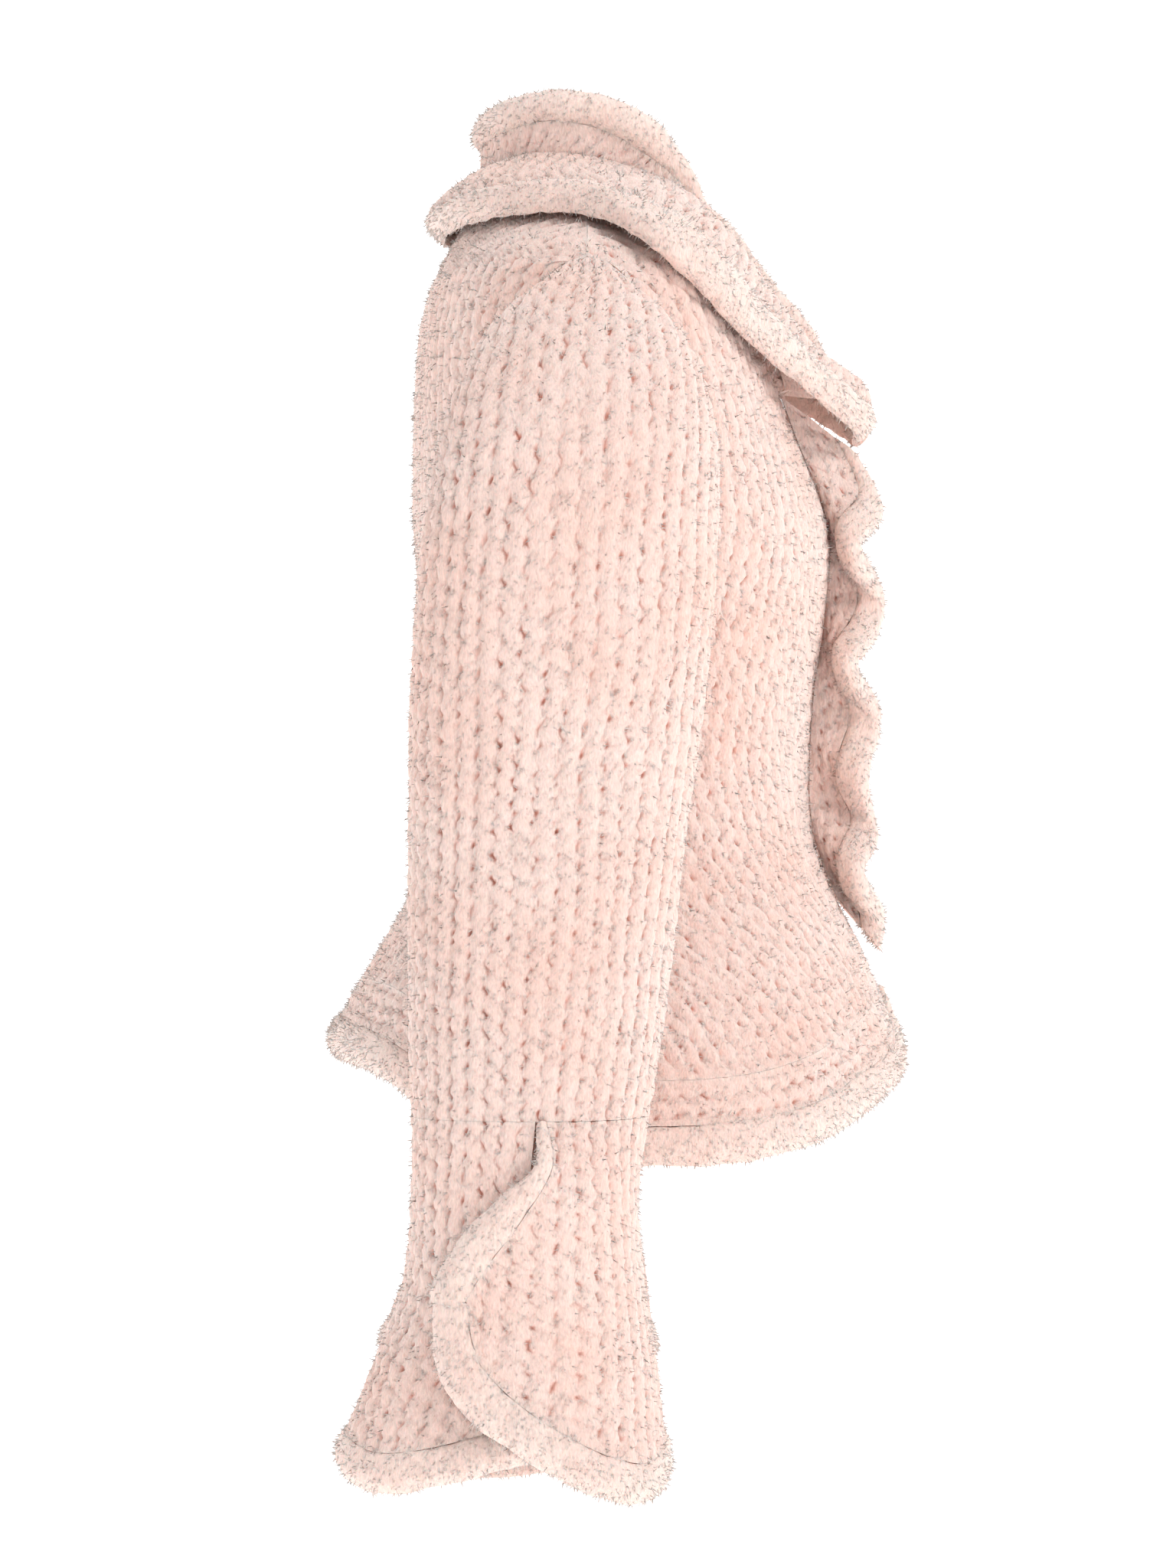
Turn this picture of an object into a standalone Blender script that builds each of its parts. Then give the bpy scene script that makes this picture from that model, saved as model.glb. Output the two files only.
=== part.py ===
"""Knitted fur jacket, filled out as if worn: hollow body, long sleeves with lapped bell cuffs,
a standing collar with a fall, and front ruffles, all edged with smooth fur.

Frame: metres, +Z up, the wearer's front faces -Y and the wearer's right side is at -X.
The origin is the middle of the neck base. Sizes below are millimetres and are scaled at the end.
Every piece is a wall between an outer and an inner grid of points, worked out from the tables.
"""
import math
from collections import namedtuple

import bpy
import numpy as np

MM = 0.001
GAP = 0.4            # between pieces at a seam
FUR_WALL = 8.0       # knitted fur, pile included
BAND_WALL = 11.0     # smooth fur edging at its fullest
BAND_WIDTH = 21.0    # width of the edging
# Section of a flat edging: shares across it, how far its face is raised, and its wall.
BAND_SHARES = (0.0, 0.3, 0.72, 1.0)
BAND_RAISE = [0.0, 2.5, 2.5, -2.5]
BAND_DEPTH = [FUR_WALL, BAND_WALL, BAND_WALL - 1.0, 4.0]
BORDER_SHARES = (0.0, 0.5, 1.0)

# Rings of the body, from the neck down. Depths run from the side line to the front and the back.
Ring = namedtuple("Ring", "height half_width front back side_y power")
BODY = [
    Ring(8, 56, 46, 58, 9, 2.0),
    Ring(0, 68, 55, 64, 10, 2.0),
    Ring(-12, 96, 66, 71, 11, 2.0),
    Ring(-28, 134, 74, 79, 12, 2.0),
    Ring(-42, 168, 81, 86, 12, 2.0),
    Ring(-54, 184, 87, 92, 12, 2.05),
    Ring(-85, 188, 99, 101, 11, 2.1),
    Ring(-140, 183, 117, 107, 8, 2.2),
    Ring(-200, 176, 135, 110, 5, 2.3),
    Ring(-250, 165, 131, 107, 3, 2.3),
    Ring(-290, 154, 124, 101, 2, 2.3),
    Ring(-335, 148, 119, 97, 0, 2.3),
    Ring(-380, 156, 121, 103, 0, 2.3),
    Ring(-414, 169, 134, 117, 0, 2.3),
    Ring(-447, 186, 151, 136, 0, 2.3),
    Ring(-484, 203, 166, 157, 0, 2.3),
    Ring(-510, 212, 175, 165, 0, 2.3),
    Ring(-565, 221, 185, 174, 0, 2.3),
]

# The garment's lower edge, as turns round the body (0 front, 0.5 side, 1 back) and height.
EdgePoint = namedtuple("EdgePoint", "turn height")
FRONT_HEM = [
    EdgePoint(0.008, -470), EdgePoint(0.020, -494), EdgePoint(0.050, -512), EdgePoint(0.100, -521),
    EdgePoint(0.150, -527), EdgePoint(0.200, -534), EdgePoint(0.250, -543), EdgePoint(0.300, -550),
    EdgePoint(0.350, -555), EdgePoint(0.400, -558), EdgePoint(0.450, -559), EdgePoint(0.500, -559),
]
BACK_HEM = [
    EdgePoint(0.50, -559), EdgePoint(0.58, -556), EdgePoint(0.65, -544), EdgePoint(0.72, -525),
    EdgePoint(0.78, -513), EdgePoint(0.86, -508), EdgePoint(1.00, -506),
]
BACK_COLUMNS = 16
ROWS_BELOW_ARMHOLE = 9
ROWS_OVER_SHOULDER = 4
NECK_SPACING_POWER = 5   # how late the columns take the neckline's spacing
FRONT_TURN = 0.005       # the front edge's turn, just off the centre line
SEAM_TURN = 0.0005       # half the gap at a side seam
BORDER_WIDTH = 25.0      # crosswise knitted border over the hem edging
FRONT_BAND_WIDTHS = (4.0, 13.0, 21.0)        # edging widths from the front edge on
FRONT_BORDER_WIDTHS = (8.0, 16.0, 21.0, 25.0)

# Armhole: an ellipse in turns and height, round the side line.
ARMHOLE_MIDDLE = -138
ARMHOLE_HALF_HEIGHT = 84
ARMHOLE_HALF_TURN = 0.14
ARMHOLE_GAP_TURN = 0.0012
ARM_POINTS = 20

NECK_FRONT_DROP = 118
NECK_BACK_DROP = 10
NECK_FRONT_X = 24
NECK_SIDE_X = 68
NECK_BEND = 0.85         # below 1 the front neckline swings outwards early
LOWER_SWING = 0.35       # share of the front edge's height over which it leaves the hem's corner
UPPER_SWING = 0.68       # share of its height from which it runs to the neckline
FRONT_SHARE = 0.52       # of the neckline from the front edge to the centre back

# Sections of the arm: distance down it, the outer and inner points of its ring, and its
# front and back lines. X is counted away from the centre line.
ArmRing = namedtuple("ArmRing", "down out_x out_z in_x in_z front_y back_y")
ARM = [
    ArmRing(0, 222, -72, 189, -214, -52, 80),
    ArmRing(45, 258, -106, 197, -222, -60, 93),
    ArmRing(95, 283, -152, 201, -236, -61, 100),
    ArmRing(145, 295, -205, 200, -256, -59, 105),
    ArmRing(200, 299, -262, 197, -287, -56, 108),
    ArmRing(257, 302, -322, 196, -326, -50, 110),
    ArmRing(315, 307, -380, 200, -380, -42, 110),
    ArmRing(385, 317, -450, 213, -450, -34, 110),
    ArmRing(445, 327, -510, 227, -510, -25, 108),
    ArmRing(480, 332, -545, 233, -545, -19, 107),
    ArmRing(525, 334, -590, 233, -590, -16, 109),
    ArmRing(570, 337, -635, 230, -635, -22, 116),
    ArmRing(610, 343, -675, 225, -675, -28, 135),
    ArmRing(645, 348, -710, 221, -710, -31, 145),
    ArmRing(680, 348, -745, 221, -745, -31, 147),
]
ARM_POWER = 2.2
ARM_DROP = 65            # height is minus (down + this) below the elbow
SLEEVE_STEPS = [0, 28, 58, 95, 132, 172, 215, 265, 315, 365, 415, 463]

# Edge of the bell cuff, from the top of the slit down the front lobe's free edge, round the hem
# and up to the end under the lap. Angles: 0 front, 90 outer side, -180 back, -270 outer side.
CuffPoint = namedtuple("CuffPoint", "angle height")
NumberedPoint = namedtuple("NumberedPoint", "number angle height")
CUFF_SLIT = [
    CuffPoint(87, -528.4), CuffPoint(87, -549), CuffPoint(99, -568), CuffPoint(116, -590),
    CuffPoint(128, -615),
]
CUFF_HEM = [
    CuffPoint(128, -615), CuffPoint(124, -643), CuffPoint(112, -669), CuffPoint(94, -693),
    CuffPoint(76, -712), CuffPoint(58, -725), CuffPoint(38, -731), CuffPoint(16, -727),
    CuffPoint(-8, -719), CuffPoint(-34, -718), CuffPoint(-60, -724), CuffPoint(-90, -730),
    CuffPoint(-118, -729), CuffPoint(-145, -722), CuffPoint(-170, -716), CuffPoint(-194, -720),
    CuffPoint(-218, -725), CuffPoint(-240, -723), CuffPoint(-260, -716), CuffPoint(-280, -706),
]
CUFF_LAP_END = [
    CuffPoint(-280, -685), CuffPoint(-279, -592), CuffPoint(-269, -555), CuffPoint(-272, -528.4),
]
CUFF_STEPS = 2           # grid columns for each row of the hem's table
CUFF_BAND_START = 5.0    # width of its edging at the top of the slit
CUFF_BAND_GROWTH = 5.5   # more for each row of the table
CUFF_LIFT = 12.0         # how far the front lobe stands off the back one
CUFF_LIFT_HEIGHTS = (-526, -560)
CUFF_LIFT_ANGLES = (5, 70)

# Standing collar: its upper edge, from the front end (0) to the centre back (1).
StandPoint = namedtuple("StandPoint", "along x y z")
STAND_TOP = [
    StandPoint(0.00, 12, -114, -112), StandPoint(0.08, 17, -107, -93), StandPoint(0.16, 26, -86, -67),
    StandPoint(0.24, 31, -75, -48), StandPoint(0.32, 42, -54, -25), StandPoint(0.40, 48, -45, -6),
    StandPoint(0.50, 57, -24, 14), StandPoint(0.62, 62, 2, 30), StandPoint(0.74, 58, 33, 36),
    StandPoint(0.88, 37, 60, 31), StandPoint(1.00, 0, 72, 26),
]
STAND_SHARES = (0.0, 0.33, 0.67, 1.0)
STAND_WAIST = 2.0        # how far its middle draws in
# Section of the roll: height over the stand, outer face and wall.
RollRow = namedtuple("RollRow", "up outer wall")
ROLL_PROFILE = [RollRow(0, 4, 8), RollRow(5, 9, 14), RollRow(14, 10, 14), RollRow(20, 5, 6)]

# Fall of the collar: its free edge, in turns and height on the body, and how far it stands off.
FallPoint = namedtuple("FallPoint", "along turn height lift")
FALL_EDGE = [
    FallPoint(0.00, 0.028, -160, 37), FallPoint(0.04, 0.052, -154, 36), FallPoint(0.08, 0.082, -143, 31),
    FallPoint(0.14, 0.128, -123, 20), FallPoint(0.28, 0.208, -97, 10), FallPoint(0.40, 0.290, -72, 8),
    FallPoint(0.50, 0.390, -46, 8), FallPoint(0.60, 0.500, -31, 8), FallPoint(0.74, 0.640, -28, 8),
    FallPoint(0.88, 0.820, -29, 9), FallPoint(1.00, 1.000, -30, 9),
]
FALL_ARCH = 9.0          # how far the fall rises over a straight drop
FALL_ROOT_GAP = 1.0
FALL_ROOT_SHARE = 0.4    # share of its width over which it leaves the standing collar
FALL_KNIT_SHARES = (0.0, 0.16, 0.4, 0.72)
# Section of an edging: how far across it, its outer face and its wall.
EdgingRow = namedtuple("EdgingRow", "share raised wall")
FALL_EDGING = [EdgingRow(0.72, 4, 8), EdgingRow(0.8, 6.5, 12), EdgingRow(0.93, 5.5, 11), EdgingRow(1, 1.5, 5)]

# Free edge of the front ruffle, a row for each turn of its folds: how far down its root is,
# then the edge's distance from the centre line, its depth and its height.
Fold = namedtuple("Fold", "root side front height")
RUFFLE = [
    Fold(-122, 14, -147, -156), Fold(-131, 12, -154, -168), Fold(-141, 12, -159, -180), Fold(-151, 17, -161, -191),
    Fold(-161, 30, -157, -199), Fold(-172, 42, -150, -205), Fold(-183, 48, -145, -213), Fold(-193, 43, -148, -223),
    Fold(-202, 31, -154, -229), Fold(-211, 18, -161, -236), Fold(-220, 12, -163, -246), Fold(-229, 14, -161, -257),
    Fold(-238, 24, -157, -265), Fold(-248, 37, -150, -271), Fold(-258, 46, -142, -279), Fold(-268, 43, -145, -289),
    Fold(-278, 31, -152, -296), Fold(-288, 18, -160, -304), Fold(-298, 12, -161, -315), Fold(-308, 15, -159, -326),
    Fold(-318, 24, -155, -335), Fold(-328, 30, -152, -345), Fold(-337, 26, -153, -356), Fold(-345, 17, -157, -366),
    Fold(-353, 14, -160, -377), Fold(-361, 20, -158, -387), Fold(-369, 32, -154, -392), Fold(-377, 42, -149, -400),
    Fold(-385, 44, -150, -411), Fold(-393, 36, -155, -419), Fold(-401, 25, -161, -427), Fold(-409, 17, -163, -436),
    Fold(-416, 14, -161, -447),
]
NumberedFold = namedtuple("NumberedFold", "number root side front height")
RUFFLE_ROOT_IN = 7.0      # from the front edge
RUFFLE_ROOT_GAP = 0.7
RUFFLE_WALL = 7.0
RUFFLE_FLAT_SHARE = 0.5  # share of its width over which it leaves the front edge's plane
RUFFLE_BAND_WIDTH = 20.0
RUFFLE_KNIT_SHARES = (0.0, 0.45, 1.0)
RUFFLE_EDGING = [EdgingRow(0, 3.5, 7), EdgingRow(0.25, 6.5, 13), EdgingRow(0.78, 6, 12), EdgingRow(1, 2.5, 5)]
RUFFLE_STEPS = 2         # grid columns for each row of the table

COLOURS = {
    "knit": (0.93, 0.72, 0.66, 1.0),
    "edging": (0.95, 0.78, 0.72, 1.0),
}

for old in list(bpy.data.objects):
    bpy.data.objects.remove(old, do_unlink=True)

garment = bpy.data.collections.new("knitted_fur_jacket")
bpy.context.scene.collection.children.link(garment)


def smooth_value(table, key, column, at):
    """Cubic curve through a table's rows: the value of one column where the key column is at."""
    rows = sorted(table, key=lambda row: getattr(row, key))
    xs = [getattr(row, key) for row in rows]
    ys = [getattr(row, column) for row in rows]
    at = min(max(at, xs[0]), xs[-1])
    i = min(max(int(np.searchsorted(xs, at)) - 1, 0), len(xs) - 2)
    slopes = []
    for j in (i, i + 1):
        before = max(j - 1, 0)
        after = min(j + 1, len(xs) - 1)
        slopes.append((ys[after] - ys[before]) / (xs[after] - xs[before]))
    span = xs[i + 1] - xs[i]
    s = (at - xs[i]) / span
    return (
        ys[i] * (2 * s**3 - 3 * s**2 + 1)
        + ys[i + 1] * (3 * s**2 - 2 * s**3)
        + slopes[0] * span * (s**3 - 2 * s**2 + s)
        + slopes[1] * span * (s**3 - s**2)
    )


def smoothstep(low, high, value):
    s = min(max((value - low) / (high - low), 0.0), 1.0)
    return s * s * (3 - 2 * s)


def power_of(value, power):
    """A sine or cosine bent for a squarer or rounder ring."""
    return math.copysign(abs(value) ** (2 / power), value)


def body_point(turn, height):
    """Outer surface of the body. Turns past 1, or below 0, are on the wearer's left."""
    ring = {name: smooth_value(BODY, "height", name, height) for name in Ring._fields[1:]}
    angle = math.pi * turn
    across = power_of(math.sin(angle), ring["power"])
    forward = power_of(math.cos(angle), ring["power"])
    depth = ring["front"] if forward > 0 else ring["back"]
    return np.array([-ring["half_width"] * across, ring["side_y"] - depth * forward, height])


def arm_point(angle, down):
    """Outer surface of the right sleeve and cuff, by angle round it and distance down it."""
    ring = {name: smooth_value(ARM, "down", name, down) for name in ArmRing._fields[1:]}
    outer = np.array([-ring["out_x"], 0.0, ring["out_z"]])
    inner = np.array([-ring["in_x"], 0.0, ring["in_z"]])
    middle_y = (ring["front_y"] + ring["back_y"]) / 2
    half_y = (ring["back_y"] - ring["front_y"]) / 2
    across = power_of(math.sin(math.radians(angle)), ARM_POWER)
    forward = power_of(math.cos(math.radians(angle)), ARM_POWER)
    point = (outer + inner) / 2 + (outer - inner) / 2 * across
    return point + np.array([0.0, middle_y - half_y * forward, 0.0])


def cuff_point(angle, height):
    """Outer surface of the cuff, its front lobe lifted clear of the back one."""
    down = -height - ARM_DROP
    point = arm_point(angle, down)
    lift = CUFF_LIFT * smoothstep(*CUFF_LIFT_ANGLES, angle)
    lift *= smoothstep(-CUFF_LIFT_HEIGHTS[0], -CUFF_LIFT_HEIGHTS[1], -height)
    return point + lift * outward(arm_point, angle, down, 1.0)


def outward(surface, p, q, step_p, side=1.0):
    """Unit normal of a surface given by two parameters, the second one a height."""
    along_p = surface(p + step_p, q) - surface(p - step_p, q)
    along_q = surface(p, q + 1.0) - surface(p, q - 1.0)
    normal = np.cross(along_p, along_q)
    return side * normal / np.linalg.norm(normal)


def body_normal(turn, height):
    return outward(body_point, turn, height, 0.004, -1.0)


def arm_normal(angle, down):
    return outward(arm_point, angle, down, 1.0)


def cuff_normal(angle, height):
    return outward(cuff_point, angle, height, 1.0, -1.0)


def make_shell(name, outer, inner, colour, closed=False):
    """One closed solid between two grids of points, rows by columns, in millimetres."""
    outer = np.array(outer)
    inner = np.array(inner)
    rows, columns = outer.shape[:2]
    points = np.concatenate([outer.reshape(-1, 3), inner.reshape(-1, 3)]) * MM
    under = rows * columns

    def corner(row, column, side):
        return side * under + row * columns + column % columns

    last = columns if closed else columns - 1
    faces = []
    for row in range(rows - 1):
        for column in range(last):
            quad = [(row, column), (row, column + 1), (row + 1, column + 1), (row + 1, column)]
            faces.append([corner(r, c, 0) for r, c in quad])
            faces.append([corner(r, c, 1) for r, c in reversed(quad)])
    for column in range(last):
        for row, turned in ((0, False), (rows - 1, True)):
            wall = [corner(row, column, 1), corner(row, column + 1, 1)]
            wall += [corner(row, column + 1, 0), corner(row, column, 0)]
            faces.append(wall[2::-1] + wall[:2:-1] if turned else wall)
    if not closed:
        for row in range(rows - 1):
            for column, turned in ((0, True), (columns - 1, False)):
                wall = [corner(row, column, 1), corner(row + 1, column, 1)]
                wall += [corner(row + 1, column, 0), corner(row, column, 0)]
                faces.append(wall[2::-1] + wall[:2:-1] if turned else wall)
    split = []
    for a, b, c, d in faces:
        split.append((a, b, c))
        split.append((a, c, d))
    corners = points[np.array(split)]
    volume = np.einsum("ij,ij->i", corners[:, 0], np.cross(corners[:, 1], corners[:, 2])).sum()
    if volume < 0:
        split = [face[::-1] for face in split]
    mesh = bpy.data.meshes.new(name)
    mesh.from_pydata([tuple(point) for point in points], [], split)
    mesh.shade_smooth()
    mesh.set_sharp_from_angle(angle=math.radians(50))
    material = bpy.data.materials.new(name)
    material.use_nodes = True
    shader = material.node_tree.nodes["Principled BSDF"]
    shader.inputs["Base Color"].default_value = COLOURS[colour]
    shader.inputs["Roughness"].default_value = 0.95
    mesh.materials.append(material)
    piece = bpy.data.objects.new(name, mesh)
    garment.objects.link(piece)
    return piece


def make_pair(name, outer, inner, colour, closed=False):
    """The wearer's right piece and its mirror image."""
    make_shell(name + "_right", outer, inner, colour, closed)
    flip = np.array([-1.0, 1.0, 1.0])
    make_shell(name + "_left", np.array(outer) * flip, np.array(inner) * flip, colour, closed)


def walls(surface, normal, params, thickness, raised=None):
    """Outer and inner grids over a grid of surface parameters."""
    outer = []
    inner = []
    for row in params:
        outer.append([])
        inner.append([])
        for column, (p, q) in enumerate(row):
            out = normal(p, q)
            lift = raised[column] if raised else 0.0
            wall = thickness[column] if isinstance(thickness, list) else thickness
            point = surface(p, q) + out * lift
            outer[-1].append(point)
            inner[-1].append(point - out * wall)
    return outer, inner


def inset(surface, edge, widths, step_p, side):
    """A path moved sideways over a surface by a width in millimetres at each point."""
    moved = []
    for i, (p, q) in enumerate(edge):
        before = edge[max(i - 1, 0)]
        after = edge[min(i + 1, len(edge) - 1)]
        scale_p = np.linalg.norm(surface(p + step_p, q) - surface(p - step_p, q)) / (2 * step_p)
        scale_q = np.linalg.norm(surface(p, q + 1.0) - surface(p, q - 1.0)) / 2
        run = np.array([(after[0] - before[0]) * scale_p, (after[1] - before[1]) * scale_q])
        run /= np.linalg.norm(run)
        moved.append((p - side * run[1] * widths[i] / scale_p, q + side * run[0] * widths[i] / scale_q))
    return moved


def fill_panel(bottom, top, left, right, both_notched):
    """Grid of parameters for a body panel. Columns keep their places between the side borders
    and take the neckline's own spacing only near the top."""
    bottom, top, left, right = (np.array(path, dtype=float) for path in (bottom, top, left, right))
    share_u = (bottom[:, 0] - bottom[0, 0]) / (bottom[-1, 0] - bottom[0, 0])
    share_t = (top[:, 0] - top[0, 0]) / (top[-1, 0] - top[0, 0])
    share_w = (right[:, 1] - right[0, 1]) / (right[-1, 1] - right[0, 1])
    grid = []
    for k, w in enumerate(share_w):
        upper = w**NECK_SPACING_POWER
        start = left[0, 0] if both_notched else left[k, 0]
        row = []
        for i, u in enumerate(share_u):
            share = (1 - upper) * u + upper * share_t[i]
            turn = start + (right[0, 0] - start) * share
            turn += (right[k, 0] - right[0, 0]) * share**2 + (left[k, 0] - start) * (1 - share) ** 2
            row.append((turn, (1 - w) * bottom[i, 1] + w * top[i, 1]))
        grid.append(row)
    return grid


def fill_patch(bottom, top, left, right):
    """Grid of parameters between four border paths that share their corners."""
    bottom, top, left, right = (np.array(path, dtype=float) for path in (bottom, top, left, right))
    share_u = (bottom[:, 0] - bottom[0, 0]) / (bottom[-1, 0] - bottom[0, 0])
    share_w = (right[:, 1] - right[0, 1]) / (right[-1, 1] - right[0, 1])
    grid = []
    for k, w in enumerate(share_w):
        row = []
        for i, u in enumerate(share_u):
            sides = (1 - w) * bottom[i] + w * top[i] + (1 - u) * left[k] + u * right[k]
            corners = (1 - w) * ((1 - u) * bottom[0] + u * bottom[-1])
            corners = corners + w * ((1 - u) * top[0] + u * top[-1])
            row.append(tuple(sides - corners))
        grid.append(row)
    return grid


def strip_between(inner_path, edge_path, shares):
    """Parameter rows across a strip, from one edge to the other."""
    return [
        [tuple((1 - s) * np.array(a) + s * np.array(b)) for s in shares]
        for a, b in zip(inner_path, edge_path)
    ]


def turn_of(x, height):
    """Turn on the front of the body at a distance from the centre line."""
    half = smooth_value(BODY, "height", "half_width", height)
    power = smooth_value(BODY, "height", "power", height)
    return math.asin(min((x / half) ** (power / 2), 1.0)) / math.pi


def side_rows(seam_turn, hem_height, sign):
    """Side seam, armhole and shoulder seam, as one border from the hem to the neck."""
    gap_turn = sign * SEAM_TURN
    under = ARMHOLE_MIDDLE - ARMHOLE_HALF_HEIGHT
    path = []
    for i in range(ROWS_BELOW_ARMHOLE):
        path.append((seam_turn + gap_turn, hem_height + (under - hem_height) * i / ROWS_BELOW_ARMHOLE))
    half_ring = ARM_POINTS // 2
    for i in range(half_ring + 1):
        angle = math.pi * (i / half_ring - 0.5)
        notch = ARMHOLE_HALF_TURN * math.cos(angle)
        height = ARMHOLE_MIDDLE + ARMHOLE_HALF_HEIGHT * math.sin(angle)
        path.append((seam_turn + gap_turn + sign * notch, height))
    tip = ARMHOLE_MIDDLE + ARMHOLE_HALF_HEIGHT
    for i in range(1, ROWS_OVER_SHOULDER + 1):
        share = i / ROWS_OVER_SHOULDER
        path.append((seam_turn + 2 * gap_turn, tip * (1 - share)))
    return path


def border_path(edge, widths):
    """A line over the hem's edge, its ends kept on the seams and the front edge."""
    path = inset(body_point, edge, widths, 0.004, 1.0)
    if edge[0][0] > FRONT_HEM[0].turn:
        path[0] = (edge[0][0], path[0][1])
    path[-1] = (edge[-1][0], path[-1][1])
    return path


def padded(widths, count):
    """Widths along a path, the last one repeated to the end."""
    return list(widths) + [widths[-1]] * (count - len(widths))


def hem_lines(edge, band, border):
    """Seam of the edging, both edges of the border and the panel's lower edge."""
    band = padded(band, len(edge))
    border = padded(border, len(edge))
    tops = [a + b for a, b in zip(band, border)]
    offsets = [band, [w + GAP for w in band], [w + GAP for w in tops], [w + 2 * GAP for w in tops]]
    return [border_path(edge, widths) for widths in offsets]


def front_grid():
    """Parameters of the right front, of its border and of its hem edging."""
    edge = [tuple(point) for point in FRONT_HEM]
    edge[-1] = (edge[-1][0] - SEAM_TURN, edge[-1][1])
    seam, border_low, border_high, panel = hem_lines(edge, FRONT_BAND_WIDTHS, FRONT_BORDER_WIDTHS)
    right = side_rows(0.5, panel[-1][1], -1.0)
    share_u = [(p - panel[0][0]) / (panel[-1][0] - panel[0][0]) for p, q in panel]
    top = []
    for u in share_u:
        x = NECK_FRONT_X + (NECK_SIDE_X - NECK_FRONT_X) * u**NECK_BEND
        height = -NECK_FRONT_DROP * (1 - u)
        top.append((turn_of(x, height), height))
    top[-1] = right[-1]
    share_w = [(q - right[0][1]) / (right[-1][1] - right[0][1]) for p, q in right]
    left = []
    for w in share_w:
        height = panel[0][1] + (top[0][1] - panel[0][1]) * w
        start = FRONT_TURN + (panel[0][0] - FRONT_TURN) * smoothstep(LOWER_SWING, 0.0, w)
        left.append((start + (top[0][0] - FRONT_TURN) * smoothstep(UPPER_SWING, 1.0, w), height))
    return fill_panel(panel, top, left, right, False), (border_high, border_low), (seam, edge)


def back_grid():
    """Parameters of the back, of its border and of its edging, from right seam to left seam."""
    turns = [0.5 + i / BACK_COLUMNS for i in range(BACK_COLUMNS + 1)]
    edge = []
    for turn in turns:
        mirrored = turn if turn <= 1 else 2 - turn
        edge.append((turn, smooth_value(BACK_HEM, "turn", "height", mirrored)))
    edge[0] = (edge[0][0] + SEAM_TURN, edge[0][1])
    edge[-1] = (edge[-1][0] - SEAM_TURN, edge[-1][1])
    seam, border_low, border_high, panel = hem_lines(edge, (BAND_WIDTH,), (BORDER_WIDTH,))
    left = side_rows(0.5, panel[0][1], 1.0)
    right = [(2.0 - p, q) for p, q in left]
    top = []
    for turn in turns:
        drop = NECK_BACK_DROP * math.sin(math.pi * (turn - 0.5))
        top.append((turn, -drop))
    top[0] = left[-1]
    top[-1] = right[-1]
    return fill_panel(panel, top, left, right, True), (border_high, border_low), (seam, edge)


def armhole_loop():
    """Outer and inner points of the right armhole, moved a gap into the hole."""
    outer = []
    inner = []
    shrink_turn = ARMHOLE_HALF_TURN - ARMHOLE_GAP_TURN
    shrink_height = ARMHOLE_HALF_HEIGHT - GAP
    for i in range(ARM_POINTS):
        angle = 2 * math.pi * i / ARM_POINTS
        turn = 0.5 - shrink_turn * math.cos(angle)
        height = ARMHOLE_MIDDLE + shrink_height * math.sin(angle)
        point = body_point(turn, height)
        outer.append(point)
        inner.append(point - body_normal(turn, height) * FUR_WALL)
    return outer, inner


def build_sleeves():
    """Each sleeve runs from the armhole to the top of the slit."""
    outer, inner = armhole_loop()
    outer = [outer]
    inner = [inner]
    for down in SLEEVE_STEPS:
        outer.append([])
        inner.append([])
        for i in range(ARM_POINTS):
            angle = 360.0 * i / ARM_POINTS
            point = arm_point(angle, down)
            outer[-1].append(point)
            inner[-1].append(point - arm_normal(angle, down) * FUR_WALL)
    make_pair("sleeve", outer, inner, "knit", closed=True)


def build_cuffs():
    """The bell below the slit: one sheet whose front lobe laps over its own back end."""
    numbered = [NumberedPoint(i, *point) for i, point in enumerate(CUFF_SLIT + CUFF_HEM[1:])]
    turn_at = len(CUFF_SLIT) - 1
    steps = list(range(turn_at))
    steps += [turn_at + i / CUFF_STEPS for i in range((len(CUFF_HEM) - 1) * CUFF_STEPS + 1)]
    edge = [tuple(smooth_value(numbered, "number", name, s) for name in CuffPoint._fields) for s in steps]
    widths = [min(CUFF_BAND_START + CUFF_BAND_GROWTH * s, BAND_WIDTH) for s in steps]
    side = -1.0
    seam = inset(cuff_point, edge, widths, 1.0, side)
    panel = inset(cuff_point, edge, [width + GAP for width in widths], 1.0, side)
    for path in (seam, panel):
        path[0] = (path[0][0], edge[0][1])
        path[-1] = (edge[-1][0], path[-1][1])
    left = panel[: turn_at + 1][::-1]
    bottom = panel[turn_at:]
    share_w = [(q - left[0][1]) / (left[-1][1] - left[0][1]) for p, q in left]
    end_top = tuple(CUFF_LAP_END[-1])
    right = []
    for w in share_w:
        height = bottom[-1][1] + (end_top[1] - bottom[-1][1]) * w
        right.append((smooth_value(CUFF_LAP_END, "height", "angle", height), height))
    share_u = [(p - bottom[0][0]) / (bottom[-1][0] - bottom[0][0]) for p, q in bottom]
    top = [(left[-1][0] + (end_top[0] - left[-1][0]) * u, end_top[1]) for u in share_u]
    grid = fill_patch(bottom, top, left, right)
    make_pair("cuff", *walls(cuff_point, cuff_normal, grid, FUR_WALL), "knit")
    strip = strip_between(seam, edge, BAND_SHARES)
    make_pair("cuff_edging", *walls(cuff_point, cuff_normal, strip, BAND_DEPTH, BAND_RAISE), "edging")


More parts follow.
